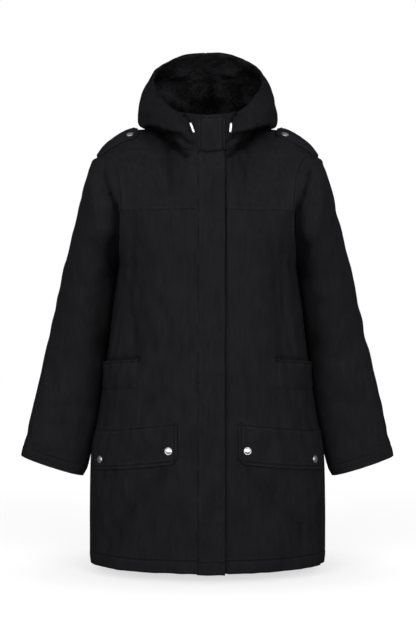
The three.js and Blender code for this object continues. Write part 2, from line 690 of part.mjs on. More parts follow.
function addSnaps() {
  const above = LAID + TRIM_CLOTH + LAID;
  const aboveStrap = STRAP_LAID + TRIM_CLOTH + strapBow(STRAP_SNAP_X, STRAP_SNAP_ACROSS) + 3 * LAID;
  for (const snap of FLAP_SNAPS) {
    seat(add(snap.name, snapGeometry(), "silver"), frontAt(snap.x, { z: snap.z }), above);
  }
  for (const side of [-1, 1]) {
    const mesh = add("snap_strap_" + sideName(side), snapGeometry(), "silver");
    seat(mesh, strapPoint(side, STRAP_SNAP_X, STRAP_SNAP_ACROSS), aboveStrap);
  }
}

// A round bar along a curve, as wide as its diameter
function tube(points, radius, sides, count) {
  const outline = new THREE.Shape(steps(sides).slice(0, -1).map((t) => {
    const turn = 2 * Math.PI * t;
    return new THREE.Vector2(radius * Math.cos(turn), radius * Math.sin(turn));
  }));
  const extrudePath = new THREE.CatmullRomCurve3(points.map((p) => vec(...p)));
  return new THREE.ExtrudeGeometry(outline, { steps: count, extrudePath, curveSegments: sides });
}

function tipGeometry(length) {
  const r = TIP_RADIUS;
  const outline = [
    [0, 0],
    [r * 0.72, 0],
    [r * 0.86, 1],
    [r, length * 0.25],
    [r, length * 0.75],
    [r * 0.84, length - 1],
    [r * 0.6, length],
    [0, length],
  ];
  return new THREE.LatheGeometry(outline.map(([x, y]) => new THREE.Vector2(x, y)), 12);
}

function addCord(cord) {
  add("cord_" + cord.name, tube(cord.route, CORD_RADIUS, 8, 5), "cord");
  const [top, end] = cord.tip.map((p) => vec(...p));
  const way = end.clone().sub(top);
  const mesh = add("cord_tip_" + cord.name, tipGeometry(way.length()), "silver");
  seat(mesh, { p: top, n: way.normalize() }, 0.3);
}

[-1, 1].forEach((side) => {
  addFront(side);
  addYoke(side);
  addSleeve(side);
  addHood(side);
  const strap = laidOn(strapGrid(side), { lift: STRAP_LAID });
  if (side < 0) {
    const index = strap.getIndex().array;
    for (let k = 0; k < index.length; k += 3) {
      [index[k + 1], index[k + 2]] = [index[k + 2], index[k + 1]];
    }
  }
  add("shoulder_strap_" + sideName(side), strap, "cloth");
});
addBack();
addLining();
addStormFlap();
POCKET_FLAPS.forEach(addPocketFlap);
HAND_POCKETS.forEach(addHandPocket);
addSnaps();
CORDS.forEach(addCord);

export default parka;
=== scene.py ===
"""A hooded parka in matt black cloth, filled out as if worn, with nobody in it.

Tables are in millimetres and meshes in metres. +Z is up, the front faces -Y and +X is the wearer's left.
The origin is at the base of the neck. "left" and "right" in names are the wearer's.
"""

import json
import math

import bpy
import numpy as np
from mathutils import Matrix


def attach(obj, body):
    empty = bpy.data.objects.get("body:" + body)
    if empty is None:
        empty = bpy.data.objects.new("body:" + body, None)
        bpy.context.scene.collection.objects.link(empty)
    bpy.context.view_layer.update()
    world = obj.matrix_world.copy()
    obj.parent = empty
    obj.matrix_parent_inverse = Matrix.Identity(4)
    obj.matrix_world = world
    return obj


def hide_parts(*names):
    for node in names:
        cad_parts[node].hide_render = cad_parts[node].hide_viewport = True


bl_info = {
    "name": "Hooded parka",
    "version": (1, 0, 0),
    "blender": (4, 5, 0),
    "location": "View3D > Sidebar > Parka",
    "description": "Makes a black hooded parka, filled out as if worn, piece by piece",
    "category": "Add Mesh",
}

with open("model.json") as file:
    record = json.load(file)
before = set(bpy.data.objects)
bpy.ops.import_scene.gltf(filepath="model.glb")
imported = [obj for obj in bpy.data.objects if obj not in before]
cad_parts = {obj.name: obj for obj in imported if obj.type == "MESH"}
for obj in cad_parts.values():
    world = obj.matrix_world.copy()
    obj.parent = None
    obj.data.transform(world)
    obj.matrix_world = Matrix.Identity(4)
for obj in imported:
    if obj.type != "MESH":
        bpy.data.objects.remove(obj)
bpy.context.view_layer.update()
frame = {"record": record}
MM = 0.001
SIDES = {"right": -1, "left": 1}
SLOTS = {row["slot"]: row for row in frame["record"]["materials"]}

# Heights of the hem, the underarm and the yoke seam
HEM_Z = -886
UNDERARM_Z = -292
YOKE_Z = -178

# The body's level sections: height, half its width, and its depth in front of and behind the side seam
BODY = np.array([
    (-886, 239, 160, 146),
    (-866, 241, 161, 148),
    (-760, 241, 161, 148),
    (-672, 239, 159, 147),
    (-640, 235, 158, 146),
    (-607, 227, 157, 145),
    (-540, 216, 154, 142),
    (-476, 206, 150, 139),
    (-400, 197.5, 145, 137),
    (-332, 190, 141, 136),
    (-292, 186, 139, 135),
    (-230, 184, 137, 134),
    (-178, 184, 134, 132),
], dtype=[("z", float), ("half", float), ("front", float), ("back", float)])

# The left armhole seam, x y z: from the shoulder down the front to the underarm, and up the back
ARMHOLE = np.array([
    (229, 6, -62),
    (213, -36, -63),
    (196, -64, -72),
    (183, -87, -100),
    (177, -97, -138),
    (175, -96, YOKE_Z),
    (175, -82, -218),
    (178, -55, -258),
    (182, -27, -283),
    (186, 0, UNDERARM_Z),
    (182, 30, -282),
    (179, 60, -254),
    (178, 86, -214),
    (178, 100, YOKE_Z),
    (181, 102, -130),
    (190, 84, -92),
    (206, 50, -68),
], float)
ARMHOLE_YOKE = 5
ARMHOLE_UNDER = 9
ARMHOLE_BACK = 13

# The shoulder seam, x y z, from the neck point out to the armhole
SHOULDER = np.array([
    (88, 8, 4),
    (115, 7, 0),
    (142, 6, -4),
    (166, 6, -10),
    (190, 6, -23),
    (211, 6, -40),
    (229, 6, -62),
], float)
NECK_SHARE = 0.4  # of the way from the centre to the armhole, where the neckline ends

# The left sleeve's sections: outer point, inner point, its middle line's depth and half its thickness
SLEEVE = np.array([
    (238, -75, 187.6, -297, 2, 100),
    (252, -113, 188.7, -310, 6, 101),
    (264, -163, 190.3, -330, 13, 98),
    (278, -220, 193.5, -362, 18, 92),
    (293, -280, 198, -405, 26, 84),
    (312, -357, 203.5, -462, 32, 75),
    (334, -452, 212, -525, 33, 65),
    (352.5, -533, 222.5, -587, 31, 55),
    (369, -605, 236, -646, 27, 47),
    (380.5, -656, 246, -692, 24, 42),
    (383.5, -673, 257, -714, 23, 40),
], dtype=[(name, float) for name in ("out_x", "out_z", "in_x", "in_z", "mid_y", "deep")])

# The left half of the hood from the centre front round to the centre back:
# x y z of its neck seam, of the roll on the shoulders, of its belly and of its rim
HOOD = np.array([
    [(0, -112, -62), (0, -117, -43), (0, -122, -17), (0, -120, 11)],
    [(45, -104, -54), (52, -112, -34), (54, -113, -8), (45, -105, 17)],
    [(67, -79, -34), (82, -91, -21), (88, -94, 6), (68, -87, 27)],
    [(82, -38, -10), (114, -52, -7), (124, -53, 28), (92, -62, 51)],
    [(88, 8, 5), (138, 0, 3), (138, -3, 46), (114, -27, 90)],
    [(79, 48, 5), (129, 52, 7), (137, 45, 72), (107, 11, 122)],
    [(59, 72, 3), (96, 94, 12), (117, 94, 97), (80, 43, 146)],
    [(31, 84, 0), (50, 112, 12), (65, 124, 111), (42, 57, 162)],
    [(0, 88, -2), (0, 119, 12), (0, 134, 116), (0, 62, 166)],
], float)
HOOD_LAST = len(HOOD) - 1
HOOD_SIDE = 4


def both(rows):
    """The rows and their mirror images."""
    return rows + [(-x0, z0, -x1, z1, *rest) for x0, z0, x1, z1, *rest in rows]


# Folds, creases and grooves in the front view: x0 z0 x1 z1 width height. The solids have the folds of the
# fronts, back and sleeves too. The painted shades are such strokes, with how dark the cloth's colour is
# painted in place of the height.
FRONT_FOLDS = [
    (-96, -700, -196, -830, 26, -5),
    (-60, -720, -150, -850, 30, 4),
    (92, -700, 196, -825, 26, -5),
    (56, -720, 146, -850, 30, 4),
    (-150, -330, -150, -470, 24, -4),
    (150, -330, 152, -470, 24, -4),
    (-95, -240, -100, -520, 34, 3),
    (96, -240, 100, -520, 34, 3),
]
FRONT_CREASES = [
    *both([(158, -338, 149, -468, 7, -1.6)]),
    (-84, -690, -188, -806, 8, -3.2),
    (86, -690, 192, -800, 8, -3.2),
    (-110, -694, -200, -770, 9, 2.2),
    (160, -692, 206, -752, 7, -2.6),
    (112, -694, 200, -775, 9, 1.8),
    (150, -700, 196, -760, 9, -1.6),
    (-130, -520, -70, -566, 16, 1.6),
    (126, -524, 66, -560, 16, 1.6),
    (-168, -190, -140, -330, 13, -1.6),
    (168, -190, 142, -330, 13, -1.6),
    (-165, -800, -172, -866, 14, 1.5),
    (60, -790, 52, -868, 16, -1.6),
    (-50, -800, -46, -868, 16, -1.4),
    *both([(44, -64, 72, -42, 6, -6.5), (72, -42, 90, -14, 6, -3.5)]),
]
POCKET_GUTTERS = [(-141, -469, -200, -477, 3.5, -11), (139, -469, 200, -477, 3.5, -11)]
# Painted shade along the drapes below the pocket flaps and under the hood's lower edge
FRONT_PAINTED_SHADES = [
    (84, -690, 188, -806, 9, 0.16),
    (-84, -690, -188, -806, 9, 0.18),
    *both([(44, -66, 72, -44, 8, 0.85), (72, -44, 96, -12, 9, 0.9), (96, -12, 132, -2, 7, 0.5)]),
]
# Painted shade in the wedge between sleeve and body and down the sleeve's inner side
SLEEVE_PAINTED_SHADES = [
    (209, -98, 195, -140, 4, 0.5),
    (194, -140, 181, -168, 6, 0.7),
    (180, -176, 181, -240, 13, 1.0),
    (184, -240, 188, -300, 15, 0.75),
    (197, -250, 214, -440, 27, 0.5),
    (214, -440, 228, -560, 24, 0.35),
]
# Painted shade under the hood's lower edge, and a broad painted shade over the hood's side
HOOD_PAINTED_SHADES = [
    (122, -9, 84, -26, 5, 0.6),
    (84, -26, 62, -33, 5, 0.6),
    (-20, 120, 150, 0, 200, 0.2),
]
BACK_FOLDS = [
    (-120, -220, -135, -760, 34, -6),
    (-70, -420, -76, -850, 34, 5),
    (8, -380, 2, -840, 36, -6),
    (78, -420, 88, -850, 34, 5),
    (124, -230, 140, -760, 34, -6),
]
BACK_CREASES = [
    (-150, -300, -90, -380, 12, -1.8),
    (150, -310, 96, -372, 12, -1.8),
    (-60, -480, 60, -520, 16, -1.5),
    (-140, -640, -40, -690, 16, -1.4),
    (40, -650, 150, -700, 16, 1.4),
    (-30, -150, -60, -240, 14, -1.2),
    (34, -150, 60, -236, 14, -1.2),
]
SLEEVE_FOLDS = [
    (208, -100, 184, -190, 17, -9),
    (222, -250, 226, -400, 26, -5),
    (285, -300, 250, -400, 26, 4),
    (310, -430, 240, -500, 24, -4),
    (345, -600, 280, -640, 22, -4),
]
SLEEVE_CREASES = [
    (222, -110, 200, -200, 9, -2),
    (211, -92, 197, -136, 5, -8),
    (240, -330, 300, -372, 12, -1.8),
    (228, -420, 300, -452, 12, 1.8),
    (232, -460, 320, -500, 11, -2),
    (262, -560, 340, -576, 12, -1.6),
    (300, -640, 368, -628, 10, -1.8),
    (268, -676, 330, -668, 9, 1.4),
]
ARMHOLE_TROUGH = [(202, -130, 187, -172, 7, -13)]
HOOD_FOLDS = [
    (70, -10, 112, 20, 15, -2.5),
    (96, 36, 132, 30, 14, 2),
    (60, 110, 100, 60, 18, -2),
    (120, -9, 84, -24, 6, -10),
    (84, -24, 57, -31, 6, -9),
    (57, -31, 41, -47, 6, -8),
    (66, 16, 96, -4, 5, -1.3),
    (104, 62, 128, 22, 7, -1.5),
    (118, 3, 84, -12, 8, 2.5),
    (84, -12, 58, -19, 8, 2.5),
]

# Rolls and hollows of the lining, in the front view, as x0 z0 x1 z1 width height. Their heights also paint
# shade into the plush's hollows and light onto its rolls.
LINING_FOLDS = [
    (-96, 84, -22, 50, 13, 12),
    (-62, 58, -16, 40, 9, -5),
    (8, 112, 12, 66, 9, -7),
    (30, 110, 40, 66, 16, 6),
    (-30, 116, -22, 84, 16, 5),
    (86, 74, 36, 46, 11, 8),
    (-84, 112, -60, 136, 18, 5),
    (70, 120, 50, 140, 18, 5),
    (-20, 62, 60, 62, 38, -15),
    (-76, 57, -58, 52, 9, -7),
    (78, 58, 88, 54, 9, -7),
    (97, 86, 97, 80, 8, -5),
    # A broad roll at the top, whose height also paints light onto the lining's top
    (-60, 138, 60, 138, 24, 7),
]

# The storm flap in the front view, and its part on the hood's front
FLAP_LEFT = -21
FLAP_RIGHT = 33.5
FLAP_LONGER = 2
FLAP_TOP = 0.985
FLAP_BUCKLES = [(1, -470, 90), (0.9, -770, 60)]  # share, height z, reach
COLLAR_FLAP = {"left": -17, "right": 34, "low": 0.06, "high": 0.97}

# Pocket flaps: inner and outer edge, then the heights of their corners
POCKET_FLAPS = {
    "right": (-59, -222, -592, -613, -673, -693),
    "left": (60, 227, -592, -613, -673, -693),
}
POCKET_FLAP_LAID = 1.2
POCKET_FLAP_STAND = {"low": 1.6, "inner": 0.8, "inner_wide": 0.05}
POCKET_FLAP_CORNER = {"cut": 11, "wide": 7}
HAND_POCKETS = {"right": (-140, -471, -480, -528, -536), "left": (138, -471, -480, -528, -536)}
HAND_POCKET_END = 0.993
HAND_POCKET_MOUTH = 6
STRAP = {"start": 143, "end": 227, "middle": -13.2, "half": 22, "point": 15, "tip": 0.35}
STRAP_LAID = 1.2
STRAP_BOW = 6.0
STRAP_SINK = 0.75
FLAP_SNAPS = {
    "snap_right_outer": (-215, -672),
    "snap_right_inner": (-76, -649),
    "snap_left_inner": (78, -649),
    "snap_left_outer": (215, -672),
}
STRAP_SNAP_X = 160
STRAP_SNAP_ACROSS = -18.5
CORDS = {
    "right": {
        "route": [
            (-46.5, -108.6, 11), (-45.5, -115.5, 14.5), (-42.5, -121, 10.5),
            (-38, -124, 3), (-34, -125.4, -4),
        ],
        "tip": [(-33.8, -125.5, -4.6), (-26.4, -127, -25.4)],
    },
    "left": {
        "route": [
            (56.5, -103.8, 13.5), (56, -111, 17), (53.5, -117, 12.5),
            (49.5, -120.5, 4), (46.8, -122, -4),
        ],
        "tip": [(46.6, -122.1, -4.6), (44.6, -123, -24.6)],
    },
}

# Panels' nominal sizes, which set how many cells their grids have
SEAM_TO_SIDE = 290
YOKE_RISE = 150
SLEEVE_LONG = 660
SLEEVE_ROUND = 480
HOOD_ROUND = 300
HOOD_RISE = 165
LINING_RISE = 220
FLAP_ABOVE_YOKE = 118
COLLAR_FLAP_LONG = 75
POCKET_FLAP_SIZE = (215, 76)
HAND_POCKET_SIZE = (90, 57)
STRAP_LONG = 105

# Rows of stitches: their distance from an edge, and where grid lines stand beside a row
HEM_STITCH = 25
CUFF_STITCH = 22
EDGE_STITCH = 4
BESIDE_STITCHES = np.array([-5.2, -3.4, -2.2, -1.1, 0, 1.1, 2.2, 3.4, 5.2])
NO_STITCHES = 60.0  # the distance that stands for none

# The thread's spindles, and the channel and puckers that sewing draws
STITCH_PITCH = 3.3
STITCH = np.array([(-1.25, 0.12), (-0.75, 0.36), (0.75, 0.36), (1.25, 0.12)])  # place along it, radius
STITCH_SUNK = 0.1
CHANNEL_WIDE = 1.7
PUCKER_PITCH = 15
PUCKER_REACH = 10

# A wall's edge: its bulge as a share of its thickness, how far its faces stop short of a seam, and the shares
# of its lift and thickness that a piece keeps at a sewn edge
EDGE_ROUND = 0.3
GAP_OUTSIDE = 0.05
GAP_INSIDE = 0.65
SEWN_LIFT = 0.1
SEWN_THICK = 0.35
WEAVE_STEP = 1.1 * MM

# Turned-in hems as edge, width and height, and how the shoulder straps are sewn
HEM_BAND = ("bottom", HEM_STITCH - 1, 0.5)
CUFF_BAND = ("top", CUFF_STITCH - 1, 0.4)
STRAP_LINES = [("bottom", EDGE_STITCH), ("top", EDGE_STITCH), ("start", EDGE_STITCH)]
STRAP_RAISING = {"lift": STRAP_LAID, "seed": 101, "pucker": 0.25, "sewn": ["end"], "slope": 3.0}

# Each panel's small unevenness: share of the size "swell", how far its height is squeezed, length, seed
SWELLS = {
    "front": [(1, 1, 95, 3), (0.4, 1, 38, 4), (1.3, 0.22, 26, 12)],
    "back": [(1, 1, 95, 3), (0.4, 1, 38, 4), (0.55, 0.3, 30, 13)],
    "sleeve": [(1, 1, 90, 5), (0.45, 1, 36, 6), (0.4, 0.4, 26, 7)],
    "hood": [(1.1, 1, 70, 8), (0.6, 1, 30, 9)],
}
PUFF = {"high": 13, "out": 0.8, "up": 0.5, "from": 0.25}  # the rounding of the chest and upper back
FLAP_GUTTER = {"deep": 8, "beside": 0.5, "wide": 3.2}
QUIET_WIDE = 9  # how far from the side seam the small unevenness fades
SLEEVE_BACK_SHARE = 0.6  # how high folds are behind
SLEEVE_CAP = 1.8
SLEEVE_PLUG = {"high": 3.6, "z": -298, "reach": 15}
SLEEVE_PLUG_BELOW = {"high": 1.5, "from": -300, "to": -490}

# The lining: behind the hood above its belly, with a gap that closes towards the rim
LINING_GAP = 1.4
LINING_RIM_GAP = 1.2
LINING_CLOSES = 0.88
LINING_TOP = 0.996
LINING_FRONT = 0.15
LINING_FOOT = (0.9, 0.91, 1)  # the lining's foot as a share of the neck seam
LINING_FOOT_UP = 6
LINING_BELLY = 0.6
LINING_BEND = 15  # how far the low curve's bend carries on the belly's slope
LINING_THIN = 1
LINING_TUFTS = [(1.3, 30, 61), (0.8, 12, 62), (0.4, 6, 63)]  # height, length, seed

# Profiles of the snaps and the cord tips: radius and height
SNAP_OUTLINE = [
    (0, 0), (6.9, 0), (7.3, 0.15), (7.5, 0.5), (7.45, 1), (7.2, 1.35), (6.8, 1.45), (6.45, 1.3), (6.25, 1.2),
    (6, 1.35), (5.4, 1.75), (4.5, 2.15), (3.4, 2.42), (2.2, 2.56), (1.1, 2.62), (0, 2.64),
]
TIP_OUTLINE = [
    (0, 0), (2.1, 0), (2.5, 0.25), (2.75, 1), (2.9, 2), (3.15, 3.2), (3.2, 5), (3.2, 15), (3.1, 17),
    (2.85, 19), (2.5, 20.4), (1.9, 20.9), (0, 21),
]
SNAP_SUNK = 0.2
TIP_START = 0.3
TIP_LONG = 21
CORD_THICK = 3.8

# The stage, in metres
CAMERA_PLACE = (0.001, -3.0, -0.377)
CAMERA_LENS = 84.4
FLOOR_Z = -0.905
FLOOR_CORNERS = ((-6, -4), (6, -4), (6, 8), (-6, 8))
FLOOR_GREY = 0.25  # what lights the coat from below
FLOOR_SEEN = 0.8
FLOOR_GLOW = 0.716
# The coat's soft shadow on the floor is painted into the floor's glow
PAINTED_SHADOW = 0.88  # how light the coat's soft shadow on the floor stays
PAINTED_SHADOW_REACH = (0.245, 0.16)  # half its width and half its depth where it is deepest
PAINTED_SHADOW_FADE = (0.9, 2.0)  # where it starts and stops fading, in that reach
WORLD_LIGHT = 0.2
SUN_LIGHT = 1.72
SUN_HEIGHT = math.radians(9)
SUN_WIDE = math.radians(50)
SUN_TURNS = {"left": math.radians(-27), "right": math.radians(27)}


# Curves and tables


def weights(t, count, closed=False):
    """How much each of `count` points weighs at each t, which counts points from 0.

    The curve is the cubic that runs through the points with slopes parallel to the line
    between their neighbours. Past an open end stands that end's mirror image of the next point.
    """
    t = np.atleast_1d(np.asarray(t, float))
    last = count if closed else count - 1
    i = np.clip(np.floor(t).astype(int), 0, last - 1)
    f = t - i
    four = (
        -0.5 * f + f**2 - 0.5 * f**3,
        1 - 2.5 * f**2 + 1.5 * f**3,
        0.5 * f + 2 * f**2 - 1.5 * f**3,
        -0.5 * f**2 + 0.5 * f**3,
    )
    out = np.zeros((len(t), count))
    rows = np.arange(len(t))
    for step, weight in enumerate(four):
        j = i + step - 1
        if closed:
            np.add.at(out, (rows, j % count), weight)
            continue
        inside = (j >= 0) & (j < count)
        np.add.at(out, (rows[inside], j[inside]), weight[inside])
        for past, end, beside in ((j < 0, 0, 1), (j >= count, count - 1, count - 2)):
            out[rows[past], end] += 2 * weight[past]
            out[rows[past], beside] -= weight[past]
    return out


def along(points, t, closed=False):
    """Points on the smooth curve through a list of points."""
    return weights(t, len(points), closed) @ points


def value_at(name, z):
    """A column of the body's table at heights z: cubics between rows, sloped as their neighbours' chord."""
    at, value = BODY["z"], BODY[name]
    last = len(at) - 1
    z = np.clip(np.asarray(z, float), at[0], at[-1])
    i = np.clip(np.searchsorted(at, z, side="right") - 1, 0, last - 1)
    ahead, behind = np.minimum(np.arange(last + 1) + 1, last), np.maximum(np.arange(last + 1) - 1, 0)
    slope = (value[ahead] - value[behind]) / (at[ahead] - at[behind])
    step = at[i + 1] - at[i]
    t = (z - at[i]) / step
    near = value[i] * (1 + 2 * t) * (1 - t) ** 2 + slope[i] * step * t * (1 - t) ** 2
    far = value[i + 1] * t * t * (3 - 2 * t) + slope[i + 1] * step * t * t * (t - 1)
    return near + far


def edge_of(back):
    """The armhole's edge on the low body, upwards, and on the yoke or upper back."""
    if back:
        upper = np.vstack([ARMHOLE[ARMHOLE_BACK:], ARMHOLE[:1]])
        return ARMHOLE[ARMHOLE_UNDER : ARMHOLE_BACK + 1], upper
    return ARMHOLE[ARMHOLE_YOKE : ARMHOLE_UNDER + 1][::-1], ARMHOLE[: ARMHOLE_YOKE + 1][::-1]


def section(z, back):
    """The level ellipse at heights z: half its width, half its depth, and the angle at which it ends."""
    z = np.asarray(z, float)
    deep = value_at("back" if back else "front", z)
    wide = value_at("half", z)
    edge = edge_of(back)[0]
    line = along(edge, np.linspace(0, len(edge) - 1, 240))
    x = np.interp(z, line[:, 2], line[:, 0])
    y = np.interp(z, line[:, 2], line[:, 1])
    end = np.arccos(np.minimum(np.abs(y) / deep, 1))
    low = z <= UNDERARM_Z
    return np.where(low, wide, x / np.sin(end)), deep, np.where(low, math.pi / 2, end)


def low_body(u, z, back):
    """The body below the yoke seam, rows of z by columns of u: each row is part of its section's ellipse."""
    z = np.asarray(z, float)
    wide, deep, end = (value[:, None] for value in section(z, back))
    turn = end * np.asarray(u)[None, :]
    y = (1 if back else -1) * deep * np.cos(turn)
    return np.stack([wide * np.sin(turn), y, np.broadcast_to(z[:, None], turn.shape)], axis=2)


def top_edge(u, back):
    """The neckline, then the shoulder seam, by the share u of the way to the armhole."""
    u = np.asarray(u, float)
    turn = np.clip(u / NECK_SHARE, 0, 1) * HOOD_SIDE
    neck = along(HOOD[:, 0], HOOD_LAST - turn if back else turn)
    seam = along(SHOULDER, np.clip((u - NECK_SHARE) / (1 - NECK_SHARE), 0, 1) * (len(SHOULDER) - 1))
    return np.where((u > NECK_SHARE)[:, None], seam, neck)


def high_body(u, v, back):
    """The body above the yoke seam: straight lines from the seam up to the neckline and the shoulder seam,
    and the armhole's bend away from its own straight line, which dies out towards the centre as the share u,
    in front as its cube. On top of that comes a slanting puff that is highest in the middle."""
    u, v = np.asarray(u, float), np.asarray(v, float)
    upper = edge_of(back)[1]
    low = low_body(u, np.array([YOKE_Z]), back)[0]
    high = top_edge(u, back)
    rise = v[:, None]
    bend = along(upper, v * (len(upper) - 1)) - upper[0] * (1 - rise) - upper[-1] * rise
    p = low * (1 - rise[:, None]) + high * rise[:, None]
    p = p + (u if back else u**3)[None, :, None] * bend[:, None]
    across = np.minimum(PUFF["from"] + (1 - PUFF["from"]) * u, 1)
    puff = PUFF["high"] * np.sin(np.pi * v)[:, None] * np.sin(np.pi * across)[None, :]
    p[..., 1] += (PUFF["out"] if back else -PUFF["out"]) * puff
    p[..., 2] += PUFF["up"] * puff
    return p


def past_centre(rows):
    """The rows of a half from centre to centre, with each end's neighbour mirrored beyond it."""
    flip = np.array([-1, 1, 1])
    return np.concatenate([rows[1:2] * flip, rows, rows[HOOD_LAST - 1 : HOOD_LAST] * flip])


def hood_surface(turn, v):
    """The hood's left half: rows of v from neck seam to rim, columns of `turn`, which counts table rows."""
    rows = past_centre(HOOD)
    across = weights(np.asarray(turn) + 1, len(rows))
    up = weights(np.asarray(v) * 3, 4)
    return np.einsum("va,tb,bac->vtc", up, across, rows)


def sleeve_rings():
    """The armhole seam, then each row of the table as an ellipse whose points keep the seam's spacing."""
    steps = np.linalg.norm(np.roll(ARMHOLE, -1, axis=0) - ARMHOLE, axis=1)
    length = np.concatenate([[0], np.cumsum(steps)])
    down, whole = length[ARMHOLE_UNDER], length[-1]
    at = length[:-1]
    angle = np.where(at <= down, np.pi * at / down, np.pi * (1 + (at - down) / (whole - down)))
    share = (1 + np.cos(angle)) / 2
    rings = [ARMHOLE]
    for row in SLEEVE:
        x = row["in_x"] + (row["out_x"] - row["in_x"]) * share
        z = row["in_z"] + (row["out_z"] - row["in_z"]) * share
        rings.append(np.stack([x, row["mid_y"] - row["deep"] * np.sin(angle), z], axis=1))
    return np.array(rings)


def fold_height(folds, x, z):
    """How high the folds stand: for each, its height times a bell curve of the distance from its line."""
    height = np.zeros(np.shape(x))
    for x0, z0, x1, z1, width, high in folds:
        dx, dz = x1 - x0, z1 - z0
        t = np.clip(((x - x0) * dx + (z - z0) * dz) / (dx * dx + dz * dz), 0, 1)
        away = np.hypot(x - x0 - t * dx, z - z0 - t * dz)
        height += high * np.exp(-((away / width) ** 2))
    return height


def swell(points, size, seed):
    """An uneven swell between about -1 and 1: ten sine waves of about that length in seeded directions."""
    rng = np.random.default_rng(seed)
    total = np.zeros(points.shape[:-1])
    for _ in range(10):
        way = rng.normal(size=3)
        way *= 2 * math.pi / (size * rng.uniform(0.7, 1.6)) / np.linalg.norm(way)
        total += np.sin(points @ way + rng.uniform(0, 2 * math.pi))
    return total / 3.2


def spaced(length, cell, marks=()):
    """Shares from 0 to 1 with steps of about a cell, and closer together beside each mark,
    which is a distance from the start, or from the end where it is negative."""
    at = np.linspace(0, length, max(3, round(length / cell) + 1))
    for mark in marks:
        place = mark if mark >= 0 else length + mark
        beside = place + BESIDE_STITCHES
        at = at[(np.abs(at - place) > BESIDE_STITCHES[-1]) | (at == 0) | (at == length)]
        at = np.union1d(at, beside[(beside > 0.5) & (beside < length - 0.5)])
    at = at[np.concatenate([[True], np.diff(at) > 0.4])]
    at[-1] = length
    return at / length


# Walls of cloth


def facing(grid, ring=False):
    """Each point's outward direction: the cross product of the steps across and up the grid."""
    if ring:
        across = np.roll(grid, -1, axis=1) - np.roll(grid, 1, axis=1)
    else:
        across = np.gradient(grid, axis=1)
    normal = np.cross(across, np.gradient(grid, axis=0))
    return normal / np.maximum(np.linalg.norm(normal, axis=2, keepdims=True), 1e-9)


def run_across(grid):
    """The distance of each point from its row's start."""
    steps = np.linalg.norm(np.diff(grid, axis=1), axis=2)
    return np.hstack([np.zeros((len(grid), 1)), np.cumsum(steps, axis=1)])


def run_up(grid):
    """The distance of each point from its column's foot."""
    return run_across(grid.transpose(1, 0, 2)).T


def edge_runs(grid):
    """By each edge's name, the points' distance from that edge and their place along it."""
    across, up = run_across(grid), run_up(grid)
    return {
        "start": (across, up),
        "end": (across[:, -1:] - across, up),
        "bottom": (up, across),
        "top": (up[-1:] - up, across),
    }


def sew(grid, lines, depth, pucker, seed):
    """How far stitching draws the cloth in: a channel along each line and uneven puckers beside it.

    A line is an edge's name and how far from it the line runs. The distance to the nearest comes second.
    """
    runs = edge_runs(grid)
    away = np.full(grid.shape[:2], NO_STITCHES)
    place = np.zeros(grid.shape[:2])
    for edge, offset in lines:
        distance, along_it = runs[edge]
        near = np.abs(distance - offset) < away
        away = np.where(near, np.abs(distance - offset), away)
        place = np.where(near, along_it, place)
    channel = -depth * np.exp(-((away / CHANNEL_WIDE) ** 2))
    share = 0.5 + 0.5 * swell(grid, 70, seed + 40)
    wave = np.sin(place * 2 * math.pi / PUCKER_PITCH + 2.5 * swell(grid, 34, seed))
    return channel + pucker * share * wave * np.exp(-((away / PUCKER_REACH) ** 2)), away


def outlines(rows, columns, ring):
    """A grid's outline as row and column numbers, once round, or a ring's two."""
    if ring:
        j = np.arange(columns)
        return [np.stack([j * 0, j]), np.stack([j * 0 + rows - 1, j[::-1]])]
    down = [(0, j) for j in range(columns)]
    right = [(i, columns - 1) for i in range(1, rows)]
    top = [(rows - 1, j) for j in range(columns - 2, -1, -1)]
    left = [(i, 0) for i in range(rows - 2, 0, -1)]
    return [np.array(down + right + top + left).T]


def edge_middle(outer, inner, i, j, ring):
    """The middle of a wall's edge at rows i and columns j, which stands out a little to make it round."""
    rows, columns = outer.shape[:2]
    within = outer[np.clip(i, 1, rows - 2), j if ring else np.clip(j, 1, columns - 2)]
    way = outer[i, j] - within
    way /= np.maximum(np.linalg.norm(way, axis=1, keepdims=True), 1e-9)
    thick = np.linalg.norm(outer[i, j] - inner[i, j], axis=1, keepdims=True)
    return (outer[i, j] + inner[i, j]) / 2 + way * thick * EDGE_ROUND


def cells(number, ring=False):
    """The four corners of each cell in a grid of point numbers; a ring's last column meets its first."""
    here = number if ring else number[:, :-1]
    right = np.roll(number, -1, axis=1) if ring else number[:, 1:]
    return np.stack([here[:-1], right[:-1], right[1:], here[1:]], axis=-1).reshape(-1, 4)


def wall_mesh(name, outer, inner, fields, ring=False, flip=False):
    """One closed wall between two grids, with a rounded edge, as a mesh object in metres.

    Its UV map is the distance across and up the outer face in metres. The fields are numbers for each
    point of the grid, by name.
    """
    rows, columns = outer.shape[:2]
    far = rows * columns
    number = np.arange(far).reshape(rows, columns)
    quads = cells(number, ring)
    faces = [quads, quads[:, ::-1] + far]
    points = [outer.reshape(-1, 3), inner.reshape(-1, 3)]
    run = np.stack([run_across(outer), run_up(outer)], axis=2)
    table = [np.tile(run.reshape(-1, 2), (2, 1))]
    values = {field: [np.tile(value.reshape(-1), 2)] for field, value in fields.items()}
    start = 2 * far
    for i, j in outlines(rows, columns, ring):
        points.append(edge_middle(outer, inner, i, j, ring))
        edge, middle = number[i, j], start + np.arange(len(i))
        next_edge, next_middle = np.roll(edge, -1), np.roll(middle, -1)
        faces.append(np.stack([edge, middle, next_middle, next_edge], axis=1))
        faces.append(np.stack([middle, edge + far, next_edge + far, next_middle], axis=1))
        table.append(run[i, j])
        for field, value in fields.items():
            values[field].append(value[i, j])
        start += len(i)
    quads = np.concatenate(faces)
    quads = quads[:, ::-1] if flip else quads
    values = {field: np.concatenate(value) for field, value in values.items()}
    return mesh_object(name, np.concatenate(points) * MM, quads, np.concatenate(table) * MM, values)


def link(name, data):
    """A new object in the scene that carries data."""
    made = bpy.data.objects.new(name, data)
    bpy.context.scene.collection.objects.link(made)
    return made


